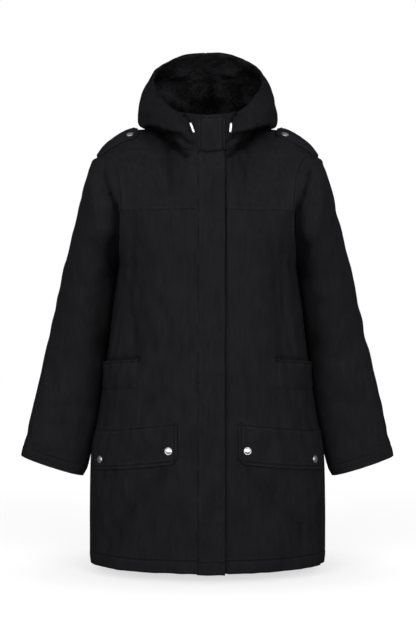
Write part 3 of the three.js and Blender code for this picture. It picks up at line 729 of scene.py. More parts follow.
def mesh_object(name, points, quads, uv=None, fields=None):
    """A mesh object of quads with smooth faces, a UV map and number fields on its points."""
    mesh = bpy.data.meshes.new(name)
    mesh.vertices.add(len(points))
    mesh.vertices.foreach_set("co", np.ascontiguousarray(points, np.float32).ravel())
    mesh.loops.add(quads.size)
    mesh.loops.foreach_set("vertex_index", np.ascontiguousarray(quads, np.int32).ravel())
    mesh.polygons.add(len(quads))
    mesh.polygons.foreach_set("loop_start", np.arange(0, quads.size, quads.shape[1], dtype=np.int32))
    mesh.polygons.foreach_set("use_smooth", np.ones(len(quads), bool))
    if uv is not None:
        layer = mesh.uv_layers.new(name="UVMap")
        layer.data.foreach_set("uv", np.ascontiguousarray(uv[quads.ravel()], np.float32).ravel())
    for field, value in (fields or {}).items():
        attribute = mesh.attributes.new(field, "FLOAT", "POINT")
        attribute.data.foreach_set("value", np.ascontiguousarray(value, np.float32))
    mesh.update(calc_edges=True)
    mesh.validate()
    return link(name, mesh)


def inset(grid, gap, edges):
    """Pulls the named edges of a grid back along its lines, so that two pieces meet with a gap."""
    grid = grid.copy()
    for edge in edges:
        border, beside = {
            "bottom": (grid[0], grid[1]),
            "top": (grid[-1], grid[-2]),
            "start": (grid[:, 0], grid[:, 1]),
            "end": (grid[:, -1], grid[:, -2]),
        }[edge]
        way = beside - border
        border += way * gap / np.maximum(np.linalg.norm(way, axis=-1, keepdims=True), 1e-9)
    return grid


def raise_cloth(
    grid, height, thick, lines, ring=False, lift=0, seed=1, depth=0.9, pucker=0.5, bands=(), sewn=(), slope=6
):
    """A grid's outer face, inner face and normals, and its distance from the nearest stitch line.

    The outer face is the grid moved along its normals by its height, its sewing and, on a piece that lies on
    a panel, its lift and thickness. A band is an edge, a width and a height: cloth stands that much prouder
    within that distance of the edge. Over the last `slope` before a sewn edge the piece thins and sinks.
    """
    normal = facing(grid, ring)
    drawn, away = sew(grid, lines, depth, pucker, seed)
    runs = edge_runs(grid)
    for edge, width, high in bands:
        drawn = drawn + high * np.exp(-((runs[edge][0] / width) ** 6))
    full = np.ones(height.shape)
    for edge in sewn:
        t = np.clip(runs[edge][0] / slope, 0, 1)
        full = full * t * t * (3 - 2 * t)
    above = (lift + thick) * (SEWN_LIFT + (1 - SEWN_LIFT) * full) if lift else 0
    outer = grid + normal * (height + drawn + above)[..., None]
    inner = outer - normal * (thick * (SEWN_THICK + (1 - SEWN_THICK) * full))[..., None]
    return outer, inner, normal, away


def cloth_piece(node, grid, height, thick, lines, ring=False, mirror=False, gaps=(), shades=(), **raising):
    """`shades` are strokes in the front view along which shade is painted into the cloth's colour.
    """
    outer, inner, normal, away = raise_cloth(grid, height, thick, lines, ring, **raising)
    outer, inner = inset(outer, GAP_OUTSIDE, gaps), inset(inner, GAP_INSIDE, gaps)
    sides = (-1, 1, 1) if mirror else (1, 1, 1)
    # Painted shade: how dark the cloth's colour is painted along the strokes, kept in the field deep
    deep = np.clip(fold_height(shades, grid[..., 0], grid[..., 2]), 0, 1)
    fields = {"stitch_away": away, "deep": deep}
    piece = wall_mesh(node + "_cloth", outer * sides, inner * sides, fields, ring, mirror)
    declare(piece, "cloth", outer, node)
    rows = [stitch_line(outer, normal, edge, offset, ring) for edge, offset in lines]
    stitches(node + "_stitches", [(points * sides, ways * sides) for points, ways in rows])


def both_sides(kind, grid, height_of, thick, lines, seed, **raising):
    """Makes a pair from the left one's grid; height_of gives the heights for a side, -1 or 1."""
    for name, side in SIDES.items():
        raising.update(mirror=side < 0, seed=seed + side)
        cloth_piece(f"{kind}_{name}", grid, height_of(side), thick, lines, **raising)


def stitch_line(surface, normal, edge, offset, ring=False):
    """The line that runs at a distance from one edge of a surface, and the surface's directions along it."""
    turn = {
        "bottom": lambda a: a,
        "top": lambda a: a[::-1],
        "start": lambda a: a.transpose(1, 0, 2),
        "end": lambda a: a[:, ::-1].transpose(1, 0, 2),
    }[edge]
    surface, normal = turn(surface), turn(normal)
    away = run_up(surface)
    i = np.clip((away < offset).sum(axis=0) - 1, 0, len(away) - 2)
    j = np.arange(surface.shape[1])
    f = ((offset - away[i, j]) / (away[i + 1, j] - away[i, j]))[:, None]
    points = surface[i, j] * (1 - f) + surface[i + 1, j] * f
    if ring:
        return np.vstack([points, points[:1]]), np.vstack([normal[i, j], normal[i[:1], j[:1]]])
    return points[1:-1], normal[i, j][1:-1]


def read_along(table, at, where):
    """A table of three columns, whose rows stand at distances `at`, read at other distances."""
    return np.stack([np.interp(where, at, column) for column in table.T], axis=1)


def unit(vectors):
    return vectors / np.linalg.norm(vectors, axis=-1, keepdims=True)


def stitches(name, lines):
    """Rows of thread as one mesh: small four-sided spindles, each laid along its line at an even pitch."""
    places, alongs, outs = [], [], []
    for points, ways in lines:
        at = run_across(points[None])[0]
        middle = np.arange(STITCH_PITCH, at[-1] - STITCH_PITCH, STITCH_PITCH)
        places.append(read_along(points, at, middle))
        alongs.append(read_along(points, at, middle + 0.8) - read_along(points, at, middle - 0.8))
        outs.append(read_along(ways, at, middle))
    place, tangent = np.concatenate(places), unit(np.concatenate(alongs))
    side = unit(np.cross(tangent, np.concatenate(outs)))
    out = np.cross(side, tangent)
    turn = np.arange(4) * math.pi / 2
    along_it, radius = STITCH.T[..., None]
    sideways, outwards = radius * np.cos(turn), radius * np.sin(turn) - STITCH_SUNK + STITCH[1, 1]
    points = place[:, None, None]
    for amount, way in ((along_it, tangent), (sideways, side), (outwards, out)):
        points = points + amount[None, ..., None] * way[:, None, None]
    number = np.arange(16).reshape(4, 4)
    body = np.roll(cells(number, True)[:, ::-1], 1, axis=1)
    one = np.concatenate([body, number[:1], number[3:, ::-1]])
    quads = (one[None] + 16 * np.arange(len(place))[:, None, None]).reshape(-1, 4)
    settle(mesh_object(name, points.reshape(-1, 3) * MM, quads), "thread")


def settle(piece, finish, node=None):
    """Gives a piece its finish and its body, and hides the solid it stands for."""
    dress(piece, finish)
    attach(piece, "root")
    if node:
        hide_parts(node)


def declare(piece, finish, outer, node):
    """Settles a sheet, and works out the size its cloth was cut to, its outer face laid flat, which nothing
    uses.
    """
    across, up = run_across(outer)[:, -1].max() * MM, run_up(outer)[-1].max() * MM
    settle(piece, finish, node)


# Materials


class Value:
    """A number in a shader, with Python's operators as Math nodes."""

    def __init__(self, shader, socket):
        self.shader, self.socket = shader, socket

    def _math(self, operation, *others):
        made = self.shader.node("ShaderNodeMath", {"operation": operation}, others)
        return Value(self.shader, made.outputs[0])

    def __add__(self, other):
        return self._math("ADD", self, other)

    def __sub__(self, other):
        return self._math("SUBTRACT", self, other)

    def __mul__(self, other):
        return self._math("MULTIPLY", self, other)

    def __truediv__(self, other):
        return self._math("DIVIDE", self, other)

    def __pow__(self, other):
        return self._math("POWER", self, other)

    __radd__ = __add__
    __rmul__ = __mul__

    def sine(self):
        return self._math("SINE", self)

    def ramp(self, low, high, at_low=0.0, at_high=1.0):
        """Runs smoothly from one value to another between two inputs."""
        inputs = (self, low, high, at_low, at_high)
        made = self.shader.node("ShaderNodeMapRange", {"interpolation_type": "SMOOTHSTEP"}, inputs)
        return Value(self.shader, made.outputs[0])


class Shader:
    """A new material and the means to add nodes to it."""

    def __init__(self, name):
        self.material = bpy.data.materials.new(name)
        self.material.use_nodes = True
        self.tree = self.material.node_tree
        self.surface = self.tree.nodes["Principled BSDF"]
        self.places = self.node("ShaderNodeTexCoord")

    def node(self, kind, settings=None, inputs=()):
        """A node of a type, with its settings first and then its sockets, by place or by name."""
        made = self.tree.nodes.new(kind)
        for name, value in (settings or {}).items():
            setattr(made, name, value)
        pairs = inputs.items() if isinstance(inputs, dict) else enumerate(inputs)
        for key, value in pairs:
            self.put(made.inputs[key], value)
        return made

    def put(self, socket, value):
        """Links a socket, or sets its value."""
        if isinstance(value, Value):
            value = value.socket
        if isinstance(value, bpy.types.NodeSocket):
            self.tree.links.new(value, socket)
        elif value is not None:
            socket.default_value = value

    def field(self, name):
        return Value(self, self.node("ShaderNodeAttribute", {"attribute_name": name}).outputs["Fac"])

    def axes(self, kind="Object"):
        """The three coordinates of the object's own places or of its UV map."""
        parts = self.node("ShaderNodeSeparateXYZ", None, (self.places.outputs[kind],))
        return [Value(self, part) for part in parts.outputs]

    def noise(self, scale, detail=2.0, roughness=0.5, where=None):
        where = where or self.places.outputs["Object"]
        inputs = {"Vector": where, "Scale": scale, "Detail": detail, "Roughness": roughness}
        return Value(self, self.node("ShaderNodeTexNoise", None, inputs).outputs["Fac"])

    def drawn_out(self, share):
        """Places whose height counts only for a share, so that patterns on them are drawn out upwards."""
        inputs = (self.places.outputs["Object"], None, None, (1, 1, share))
        return self.node("ShaderNodeMapping", None, inputs).outputs[0]

    def mix(self, factor, low, high):
        return self.node("ShaderNodeMix", {"data_type": "RGBA"}, {0: factor, 6: low, 7: high}).outputs[2]

    def bump(self, height, distance):
        inputs = {"Height": height, "Distance": distance, "Strength": 1.0}
        return Value(self, self.node("ShaderNodeBump", None, inputs).outputs[0])

    def finish(self, base, roughness, specular, **others):
        """Sets the surface's sockets and returns the material."""
        sockets = {"Base Color": base, "Roughness": roughness, "Specular IOR Level": specular, **others}
        for name, value in sockets.items():
            self.put(self.surface.inputs[name], value)
        return self.material


def shade(colour, times):
    return tuple(min(1.0, c * times) for c in colour[:3]) + (1.0,)


def grey(value):
    return (value, value, value, 1)


def cloth_material(colour):
    """Matt black woven cloth, a little uneven, with painted shade in its stitch channels, a painted highlight
    beside them and painted shade in folds and between parts.
    """
    shader = Shader("parka_cloth")
    mottle = shader.noise(26, 3)
    fibre = shader.noise(900, 2)
    streak = shader.noise(150, 3, 0.6, shader.drawn_out(0.16))
    away = shader.field("stitch_away")
    # Painted shade in each stitch channel, and a painted highlight on the cloth just beside it
    channel = away.ramp(0.2, 2.0, 1, 0)
    painted_highlight = away.ramp(1.6, 3.2) * away.ramp(3.2, 7, 1, 0)
    tone = mottle * 0.35 + streak * 0.45 + fibre * 0.25 + painted_highlight * 0.12 - channel * 0.4
    base = shader.mix(tone.ramp(0.1, 0.85), shade(colour, 0.55), shade(colour, 1.5))
    # Painted shade: the colour runs darker along the strokes of the field deep
    base = shader.mix(shader.field("deep"), base, shade(colour, 0.15))
    across, up, _ = (place * (2 * math.pi / WEAVE_STEP) for place in shader.axes("UV"))
    relief = across.sine() * up.sine() * 0.1 + fibre * 0.3 + streak
    return shader.finish(base, 0.84 + mottle * 0.1, 0.08, Normal=shader.bump(relief, 0.0009))


def plush_material(colour):
    """Short dense pile, with shade painted into its hollows and light painted onto its rolls by the lining's
    roll heights.
    """
    shader = Shader("parka_plush")
    tuft = shader.noise(210, 3, 0.6)
    cloud = shader.noise(38, 2)
    # Painted shade and light: the roll field darkens the hollows and lightens the rolls
    tone = tuft * 0.6 + cloud * 0.4 + shader.field("roll") * 0.018
    base = shader.mix(tone.ramp(0.2, 0.84), shade(colour, 0.2), shade(colour, 3.9))
    return shader.finish(base, 0.97, 0.03, Normal=shader.bump(tuft, 0.003))


def cord_material(colour):
    """A braided round cord: two sets of strands that cross round it."""
    shader = Shader("parka_cord")
    x, _, z = shader.axes()
    strands = ((x + z) * 3600).sine() * ((x - z) * 3600).sine()
    base = shader.mix(strands.ramp(-1, 1), shade(colour, 0.3), shade(colour, 0.8))
    return shader.finish(base, 0.8, 0.08, Normal=shader.bump(strands, 0.0003))


def silver_material(colour):
    """Satin silver plating with faint wear."""
    shader = Shader("parka_silver")
    wear = shader.noise(420, 3)
    base = shader.mix(wear.ramp(0.3, 0.8), shade(colour, 0.93), shade(colour, 1.04))
    return shader.finish(base, 0.24 + wear * 0.12, 0.5, Metallic=1.0, Normal=shader.bump(wear, 0.00005))


def thread_material(colour):
    """Twisted sewing thread, a little glossier than the cloth."""
    shader = Shader("parka_thread")
    x, y, z = shader.axes()
    twist = ((x + y + z) * 9000).sine()
    base = shader.mix(twist.ramp(-1, 1), shade(colour, 0.9), shade(colour, 1.9))
    return shader.finish(base, 0.6, 0.2)


# Each finish with the slot of the record that it fills
FINISHES = {
    "cloth": (cloth_material, "cloth"),
    "thread": (thread_material, "cloth"),
    "plush": (plush_material, "plush"),
    "cord": (cord_material, "cord"),
    "silver": (silver_material, "silver"),
}


def dress(piece, finish):
    """Gives a piece its finish, made in its slot's colour when it is first needed."""
    maker, slot = FINISHES[finish]
    material = bpy.data.materials.get("parka_" + finish)
    if material is None:
        material = maker(tuple(getattr(bpy.context.scene.parka_colours, slot)))
    piece.data.materials.append(material)


# Sizes and colours that a user would change


class PARKA_PG_sizes(bpy.types.PropertyGroup):
    """Sizes of the cloth and of the grid that carries it."""

    cloth: bpy.props.FloatProperty(
        name="Cloth", description="Thickness of the outer cloth with its backing",
        default=2.6 * MM, min=0.5 * MM, max=6 * MM, unit="LENGTH",
    )
    trim: bpy.props.FloatProperty(
        name="Trim", description="Thickness of flaps, straps and patches",
        default=2.2 * MM, min=0.5 * MM, max=6 * MM, unit="LENGTH",
    )
    plush: bpy.props.FloatProperty(
        name="Plush", description="Thickness of the hood's lining",
        default=4 * MM, min=1 * MM, max=10 * MM, unit="LENGTH",
    )
    laid: bpy.props.FloatProperty(
        name="Laid", description="Clearance under a piece that lies on a panel",
        default=0.6 * MM, min=0.1 * MM, max=2 * MM, unit="LENGTH",
    )
    cell: bpy.props.FloatProperty(
        name="Cell", description="Size of one cell of a cloth grid",
        default=4 * MM, min=2 * MM, max=30 * MM, unit="LENGTH",
    )
    swell: bpy.props.FloatProperty(
        name="Swell", description="Height of the cloth's small unevenness",
        default=1.0 * MM, min=0, max=4 * MM, unit="LENGTH",
    )


def slot_colour(slot):
    return tuple(SLOTS[slot]["base_color"][:3])


class PARKA_PG_colours(bpy.types.PropertyGroup):
    """Colours of the materials."""

    cloth: bpy.props.FloatVectorProperty(
        name="Cloth", description="Colour of the outer cloth", subtype="COLOR", size=3, min=0, max=1,
        default=slot_colour("cloth"),
    )
    plush: bpy.props.FloatVectorProperty(
        name="Plush", description="Colour of the hood's lining", subtype="COLOR", size=3, min=0, max=1,
        default=slot_colour("plush"),
    )
    cord: bpy.props.FloatVectorProperty(
        name="Cord", description="Colour of the drawcords", subtype="COLOR", size=3, min=0, max=1,
        default=slot_colour("cord"),
    )
    silver: bpy.props.FloatVectorProperty(
        name="Silver", description="Colour of snaps and cord tips", subtype="COLOR", size=3, min=0, max=1,
        default=slot_colour("silver"),
    )


def sizes():
    """The sizes in millimetres."""
    group = bpy.context.scene.parka_sizes
    return {name: getattr(group, name) / MM for name in ("cloth", "trim", "plush", "laid", "cell", "swell")}


# Heights for each panel


def quiet(grid):
    """Fades small unevenness out beside the sleeve, so that it stays clear: 0 at the side, 1 further in."""
    half = np.maximum(value_at("half", grid[..., 2]), 1)
    return np.clip((half - np.abs(grid[..., 0])) / QUIET_WIDE, 0, 1)


def uneven(points, panel):
    """A panel's small unevenness: the swells of its table added up."""
    rows = SWELLS[panel]
    total = sum(high * swell(points * (1, 1, squeeze), size, seed) for high, squeeze, size, seed in rows)
    return sizes()["swell"] * total


def front_height(grid, side=1):
    """Folds, creases and swell of the fronts, by place in the front view."""
    signed = grid * (side, 1, 1)
    x, z = signed[..., 0], signed[..., 2]
    fine = fold_height(FRONT_CREASES, x, z) + uneven(signed, "front")
    return fold_height(FRONT_FOLDS, x, z) + fine * quiet(grid)


def grooved_front_height(grid, side):
    """The front's height, with grooves along the storm flap's free edge and in the side pocket's mouth."""
    x, z = grid[..., 0] * side, grid[..., 2]
    away = (x - FLAP_RIGHT - FLAP_GUTTER["beside"]) / FLAP_GUTTER["wide"]
    grooves = fold_height(POCKET_GUTTERS, x, z) * quiet(grid) - FLAP_GUTTER["deep"] * np.exp(-(away**2))
    return front_height(grid, side) + grooves


def back_height(grid):
    """Folds, creases and swell of the back."""
    x, z = grid[..., 0], grid[..., 2]
    fine = fold_height(BACK_CREASES, x, z) + uneven(grid, "back")
    return fold_height(BACK_FOLDS, x, z) + fine * quiet(grid)


def sleeve_height(grid, down, side):
    """Folds, creases and swell of a sleeve: softer at the back, none at the armhole or beside the body.

    The sleeve's head is rounder on the outside, and a groove follows the armhole in front.
    """
    x, z = grid[..., 0], grid[..., 2]
    reach = np.minimum(down, 1)[:, None]
    softer = np.where(grid[..., 1] < 0, 1, SLEEVE_BACK_SHARE)
    sideways = x - x.mean(axis=1, keepdims=True)
    sideways = sideways / np.abs(sideways).max(axis=1, keepdims=True)
    inward, outward = np.clip(-sideways, 0, 1), np.clip(sideways, 0, 1)
    fine = fold_height(SLEEVE_CREASES, x, z) + uneven(grid * (side, 1, 1), "sleeve")
    folds = reach * (1 - inward**6) * (fold_height(SLEEVE_FOLDS, x, z) * softer + fine)
    in_front = np.clip(-(grid[..., 1] + 8) / 24, 0, 1)
    trough = fold_height(ARMHOLE_TROUGH, x, z) * in_front * reach
    return folds + trough + sleeve_plug(inward, z) + SLEEVE_CAP * outward**2 * np.sin(math.pi * reach)


def sleeve_plug(inward, z):
    """Closes the slit between sleeve and body: most just below the underarm, and a little further down."""
    top, below = SLEEVE_PLUG, SLEEVE_PLUG_BELOW
    near = top["high"] * inward**4 * np.exp(-(((z - top["z"]) / top["reach"]) ** 2))
    fades = np.clip((z - below["to"]) / 40, 0, 1) * np.clip((below["from"] - z) / 20, 0, 1)
    return near + below["high"] * inward**6 * fades


# Grids that more than one piece needs


def panel_columns(size):
    return spaced(SEAM_TO_SIDE, size["cell"], (-EDGE_STITCH,))


def panel_rows(size, marks):
    """Heights from the hem to the yoke seam."""
    return HEM_Z + (YOKE_Z - HEM_Z) * spaced(YOKE_Z - HEM_Z, size["cell"] * 1.2, marks)


def front_strip(x, z):
    """Points of the fronts below the yoke seam, at columns x and a grid of heights z."""
    wide, deep, _ = (value.reshape(z.shape) for value in section(z.reshape(-1), False))
    across = np.broadcast_to(x, np.broadcast_shapes(x.shape, z.shape))
    y = -deep * np.sqrt(np.maximum(1 - (across / wide) ** 2, 1e-4))
    return np.stack([across, y, np.broadcast_to(z, across.shape)], axis=2)


def read_at(x, surface):
    """A surface's rows read at the places x across the front view, by straight lines between its columns."""
    made = [[np.interp(np.abs(x), row[:, 0], row[:, k]) for k in (1, 2)] for row in surface]
    y, z = np.array(made).transpose(1, 0, 2)
    return np.stack([np.broadcast_to(x, y.shape), y, z], axis=2)


def lining_surface(turn, v, deep):
    """Inside the hood's cloth above its belly; below that a curve with one bend goes down to the neck."""
    dense = np.linspace(0, 1, 101)
    hood = hood_surface(turn, dense)
    sewn = np.clip((dense - LINING_CLOSES) / (1 - LINING_CLOSES), 0, 1)[:, None, None]
    inside = hood - facing(hood) * (deep - (deep - LINING_RIM_GAP) * sewn * sewn)
    neck = past_centre(HOOD[:, 0] * LINING_FOOT + (0, 0, LINING_FOOT_UP))
    foot = along(neck, np.asarray(turn) + 1)
    at = round(LINING_BELLY * 100)
    edge = inside[at]
    bend = edge - LINING_BEND * LINING_BELLY * (inside[at + 2] - edge)
    t = np.minimum(v / LINING_BELLY, 1)[:, None, None]
    low = foot * (1 - t) ** 2 + bend * 2 * t * (1 - t) + edge * t * t
    place = np.interp(v, dense, np.arange(101))
    i = np.minimum(place.astype(int), 99)
    f = (place - i)[:, None, None]
    high = inside[i] * (1 - f) + inside[i + 1] * f
    return np.where((v < LINING_BELLY)[:, None, None], low, high)


def towards_left(grid, height, way):
    """Makes a right piece's columns run towards +X as well, and names a piece's inner and outer edge."""
    if way < 0:
        return grid[:, ::-1], height[:, ::-1], "end", "start"
    return grid, height, "start", "end"


def pocket_flap(name, size):
    """A pocket flap's grid, height, stitching and raising. Its low edge stands off; one corner is round."""
    in_x, out_x, in_top, out_top, in_low, out_low = POCKET_FLAPS[name]
    way = np.sign(out_x)
    wide = float(section(np.array([out_top]), False)[0][0])
    first, last = math.asin(abs(in_x) / wide), math.asin(abs(out_x) / wide)
    across, up = POCKET_FLAP_SIZE
    turn = first + (last - first) * spaced(across, size["cell"] * 0.8, (6, -5))
    x = way * wide * np.sin(turn)
    u = (x - in_x) / (out_x - in_x)
    v = spaced(up, size["cell"] * 0.8, (6, -EDGE_STITCH))[:, None]
    corner = POCKET_FLAP_CORNER["cut"] * np.exp(-(((x - in_x) / POCKET_FLAP_CORNER["wide"]) ** 2))
    low = in_low + (out_low - in_low) * u + corner
    grid = front_strip(x, low + (in_top + (out_top - in_top) * u - low) * v)
    inner_edge = np.exp(-((u[None, :] / POCKET_FLAP_STAND["inner_wide"]) ** 2)) * (1 - v)
    stand = POCKET_FLAP_STAND["low"] * (1 - v) ** 3 + POCKET_FLAP_STAND["inner"] * inner_edge
    height = front_height(grid) + stand + 0.6 * swell(grid, 34, 84)
    grid, height, inner, outer = towards_left(grid, height, way)
    lines = [("bottom", 6), (inner, 6), (outer, 5), ("top", EDGE_STITCH)]
    raising = {"lift": POCKET_FLAP_LAID, "seed": 80 + int(way), "pucker": 0.35, "sewn": ["top"]}
    return grid, height, lines, raising


def strap_surface(x, across):
    """The shoulder beside its seam: rows are distances across the seam, columns are places x along it."""
    u = np.linspace(NECK_SHARE, 1, 241)
    at = np.interp(x, top_edge(u, False)[:, 0], u)
    v = np.linspace(0.6, 1, 161)
    grid = np.zeros(across.shape + (3,))
    for back in (False, True):
        patch = high_body(at, v, back)
        away = np.linalg.norm(patch - patch[-1:], axis=2)
        for j in range(len(x)):
            mask = (across[:, j] > 0) == back
            grid[mask, j] = read_along(patch[::-1, j], away[::-1, j], np.abs(across[mask, j]))
    return grid


def shoulder_strap(size):
    """The left strap's grid and height: it bows over the shoulder seam, less towards its sewn end."""
    share = spaced(STRAP_LONG, size["cell"] * 0.7, (EDGE_STITCH,))
    x = STRAP["start"] + (STRAP["end"] - STRAP["start"]) * share
    narrow = np.minimum(1, STRAP["tip"] + (1 - STRAP["tip"]) * (x - STRAP["start"]) / STRAP["point"])
    v = spaced(2 * STRAP["half"], size["cell"] * 0.6, (EDGE_STITCH, -EDGE_STITCH))[:, None]
    across = STRAP["middle"] + STRAP["half"] * narrow * (2 * v - 1)
    grid = strap_surface(x, across)
    for _ in range(6):
        grid[1:-1] = 0.25 * (grid[:-2] + grid[2:]) + 0.5 * grid[1:-1]
    bow = STRAP_BOW * (1 - STRAP_SINK * share) * np.exp(-((across / STRAP["half"]) ** 2))
    return grid, bow + 0.35 * swell(grid, 30, 103)


# Metal and cords


def metal(name, node, outline, foot, way, sides=40):
    """A silver piece: a profile of radius and height carried round an axis that runs a way from a foot.

    Its first and last point are on the axis and close it.
    """
    way = unit(np.asarray(way, float))
    side = unit(np.cross((0, 0, 1) if abs(way[2]) < 0.9 else (1, 0, 0), way))
    angle = np.linspace(0, 2 * math.pi, sides, endpoint=False)[:, None]
    ring = np.cos(angle) * side + np.sin(angle) * np.cross(way, side)
    radius, high = np.array(outline, float).T[..., None, None]
    points = foot + radius * ring + high * way
    number = np.arange((len(outline) - 2) * sides).reshape(-1, sides)
    first, last = number.size, number.size + 1
    right = np.roll(number, -1, axis=1)
    faces = cells(number, True).tolist()
    faces += [(first, b, a) for a, b in zip(number[0].tolist(), right[0].tolist())]
    faces += [(last, a, b) for a, b in zip(number[-1].tolist(), right[-1].tolist())]
    places = np.concatenate([points[1:-1].reshape(-1, 3), points[[0, -1], 0]]) * MM
    mesh = bpy.data.meshes.new(name)
    mesh.from_pydata(places.tolist(), [], faces)
    mesh.polygons.foreach_set("use_smooth", np.ones(len(faces), bool))
    mesh.update()
    piece = link(name, mesh)
    settle(piece, "silver", node)
    return piece


def snap_cap(node, foot, normal):
    metal(node + "_cap", node, SNAP_OUTLINE, foot - SNAP_SUNK * normal, normal)


def braid(name, node, route):
    """A round cord through the points of its route."""
    curve = bpy.data.curves.new(name, "CURVE")
    curve.dimensions = "3D"
    curve.bevel_depth = CORD_THICK / 2 * MM
    curve.bevel_resolution = 4
    curve.use_fill_caps = True
    spline = curve.splines.new("POLY")
    spline.points.add(len(route) - 1)
    for point, place in zip(spline.points, route * MM):
        point.co = (*place, 1)
    piece = link(name, curve)
    settle(piece, "cord", node)
    return piece


# Operators


class Maker(bpy.types.Operator):
    """What the operators share."""

    bl_options = {"REGISTER"}

    def execute(self, context):
        self.make(sizes())
        return {"FINISHED"}


class PARKA_OT_fronts(Maker):
    """Makes the two fronts below the yoke seam"""

    bl_idname = "parka.fronts"
    bl_label = "Fronts"

    def make(self, size):
        grid = low_body(panel_columns(size), panel_rows(size, (HEM_STITCH, -EDGE_STITCH)), False)
        both_sides(
            "front", grid, lambda side: grooved_front_height(grid, side), size["cloth"],
            [("bottom", HEM_STITCH)], seed=10, gaps=("top", "start", "end"), shades=FRONT_PAINTED_SHADES,
            bands=[HEM_BAND],
        )


class PARKA_OT_yokes(Maker):
    """Makes the two front yokes"""

    bl_idname = "parka.yokes"
    bl_label = "Yokes"

    def make(self, size):
        grid = high_body(panel_columns(size), spaced(YOKE_RISE, size["cell"], (3,)), False)
        both_sides(
            "yoke", grid, lambda side: grooved_front_height(grid, side), size["cloth"],
            [("bottom", 3), ("end", EDGE_STITCH)], seed=20, gaps=("bottom", "top", "start", "end"),
            shades=FRONT_PAINTED_SHADES, bands=[("bottom", 7, 0.3), ("end", 8, 0.6)], depth=0.35,
        )


class PARKA_OT_back(Maker):
    """Makes the back in one piece"""

    bl_idname = "parka.back"
    bl_label = "Back"

    def make(self, size):
        columns = spaced(SEAM_TO_SIDE, size["cell"] * 1.3, (-EDGE_STITCH,))
        low = low_body(columns, panel_rows(size, (HEM_STITCH,)), True)
        high = high_body(columns, spaced(YOKE_RISE, size["cell"] * 1.3), True)
        half = np.concatenate([low, high[1:]])
        grid = np.concatenate([half[:, ::-1], half[:, 1:] * (-1, 1, 1)], axis=1)
        cloth_piece(
            "back", grid, back_height(grid), size["cloth"], [("bottom", HEM_STITCH)],
            gaps=("top", "start", "end"), seed=31, bands=[HEM_BAND],
        )


class PARKA_OT_sleeves(Maker):
    """Makes the two sleeves"""

    bl_idname = "parka.sleeves"
    bl_label = "Sleeves"

    def make(self, size):
        rings = sleeve_rings()
        down = spaced(SLEEVE_LONG, size["cell"] * 1.2, (-CUFF_STITCH,)) * (len(rings) - 1)
        turn = np.linspace(0, len(ARMHOLE), round(SLEEVE_ROUND / size["cell"]), endpoint=False)
        round_it = weights(turn, len(ARMHOLE), closed=True)
        grid = np.einsum("da,tb,abc->dtc", weights(down, len(rings)), round_it, rings)
        both_sides(
            "sleeve", grid, lambda side: sleeve_height(grid, down, side), size["cloth"],
            [("top", CUFF_STITCH)], seed=40, ring=True, gaps=("bottom",), depth=0.7, shades=SLEEVE_PAINTED_SHADES,
            bands=[CUFF_BAND],
        )


class PARKA_OT_hood(Maker):
    """Makes the hood's two halves"""

    bl_idname = "parka.hood"
    bl_label = "Hood"

    def make(self, size):
        turn = spaced(HOOD_ROUND, size["cell"], (-EDGE_STITCH,)) * HOOD_LAST
        v = spaced(HOOD_RISE, size["cell"])
        grid = hood_surface(turn, v)
        folds = fold_height(HOOD_FOLDS, grid[..., 0], grid[..., 2])
        rise = np.minimum(v * 4, 1)[:, None]
        both_sides(
            "hood", grid, lambda side: (folds + uneven(grid * (side, 1, 1), "hood")) * rise, size["cloth"],
            [("end", EDGE_STITCH)], seed=50, gaps=("start", "end"), sewn=["top"], slope=8,
            shades=HOOD_PAINTED_SHADES,
        )


class PARKA_OT_lining(Maker):
    """Makes the hood's plush lining"""

    bl_idname = "parka.lining"
    bl_label = "Hood lining"

    def make(self, size):
        turn = LINING_FRONT + (HOOD_LAST - LINING_FRONT) * spaced(HOOD_ROUND, size["cell"] * 0.7)
        v = LINING_TOP * spaced(LINING_RISE, size["cell"] * 0.7)
        half = lining_surface(turn, v, size["cloth"] + LINING_GAP)
        outer = np.concatenate([half, half[:, -2::-1] * (-1, 1, 1)], axis=1)
        rolls = fold_height(LINING_FOLDS, outer[..., 0], outer[..., 2]) * np.clip(outer[..., 1] / 30, 0, 1)
        rolls = rolls * (np.minimum((1 - v) * 6, 1) * np.minimum(v * 4, 1))[:, None]
        tufts = sum(high * swell(outer, long, seed) for high, long, seed in LINING_TUFTS)
        inner = outer - facing(outer) * np.maximum(size["plush"] + tufts + rolls, LINING_THIN)[..., None]
        piece = wall_mesh("hood_lining_plush", outer, inner, {"roll": rolls})
        declare(piece, "plush", outer, "hood_lining")


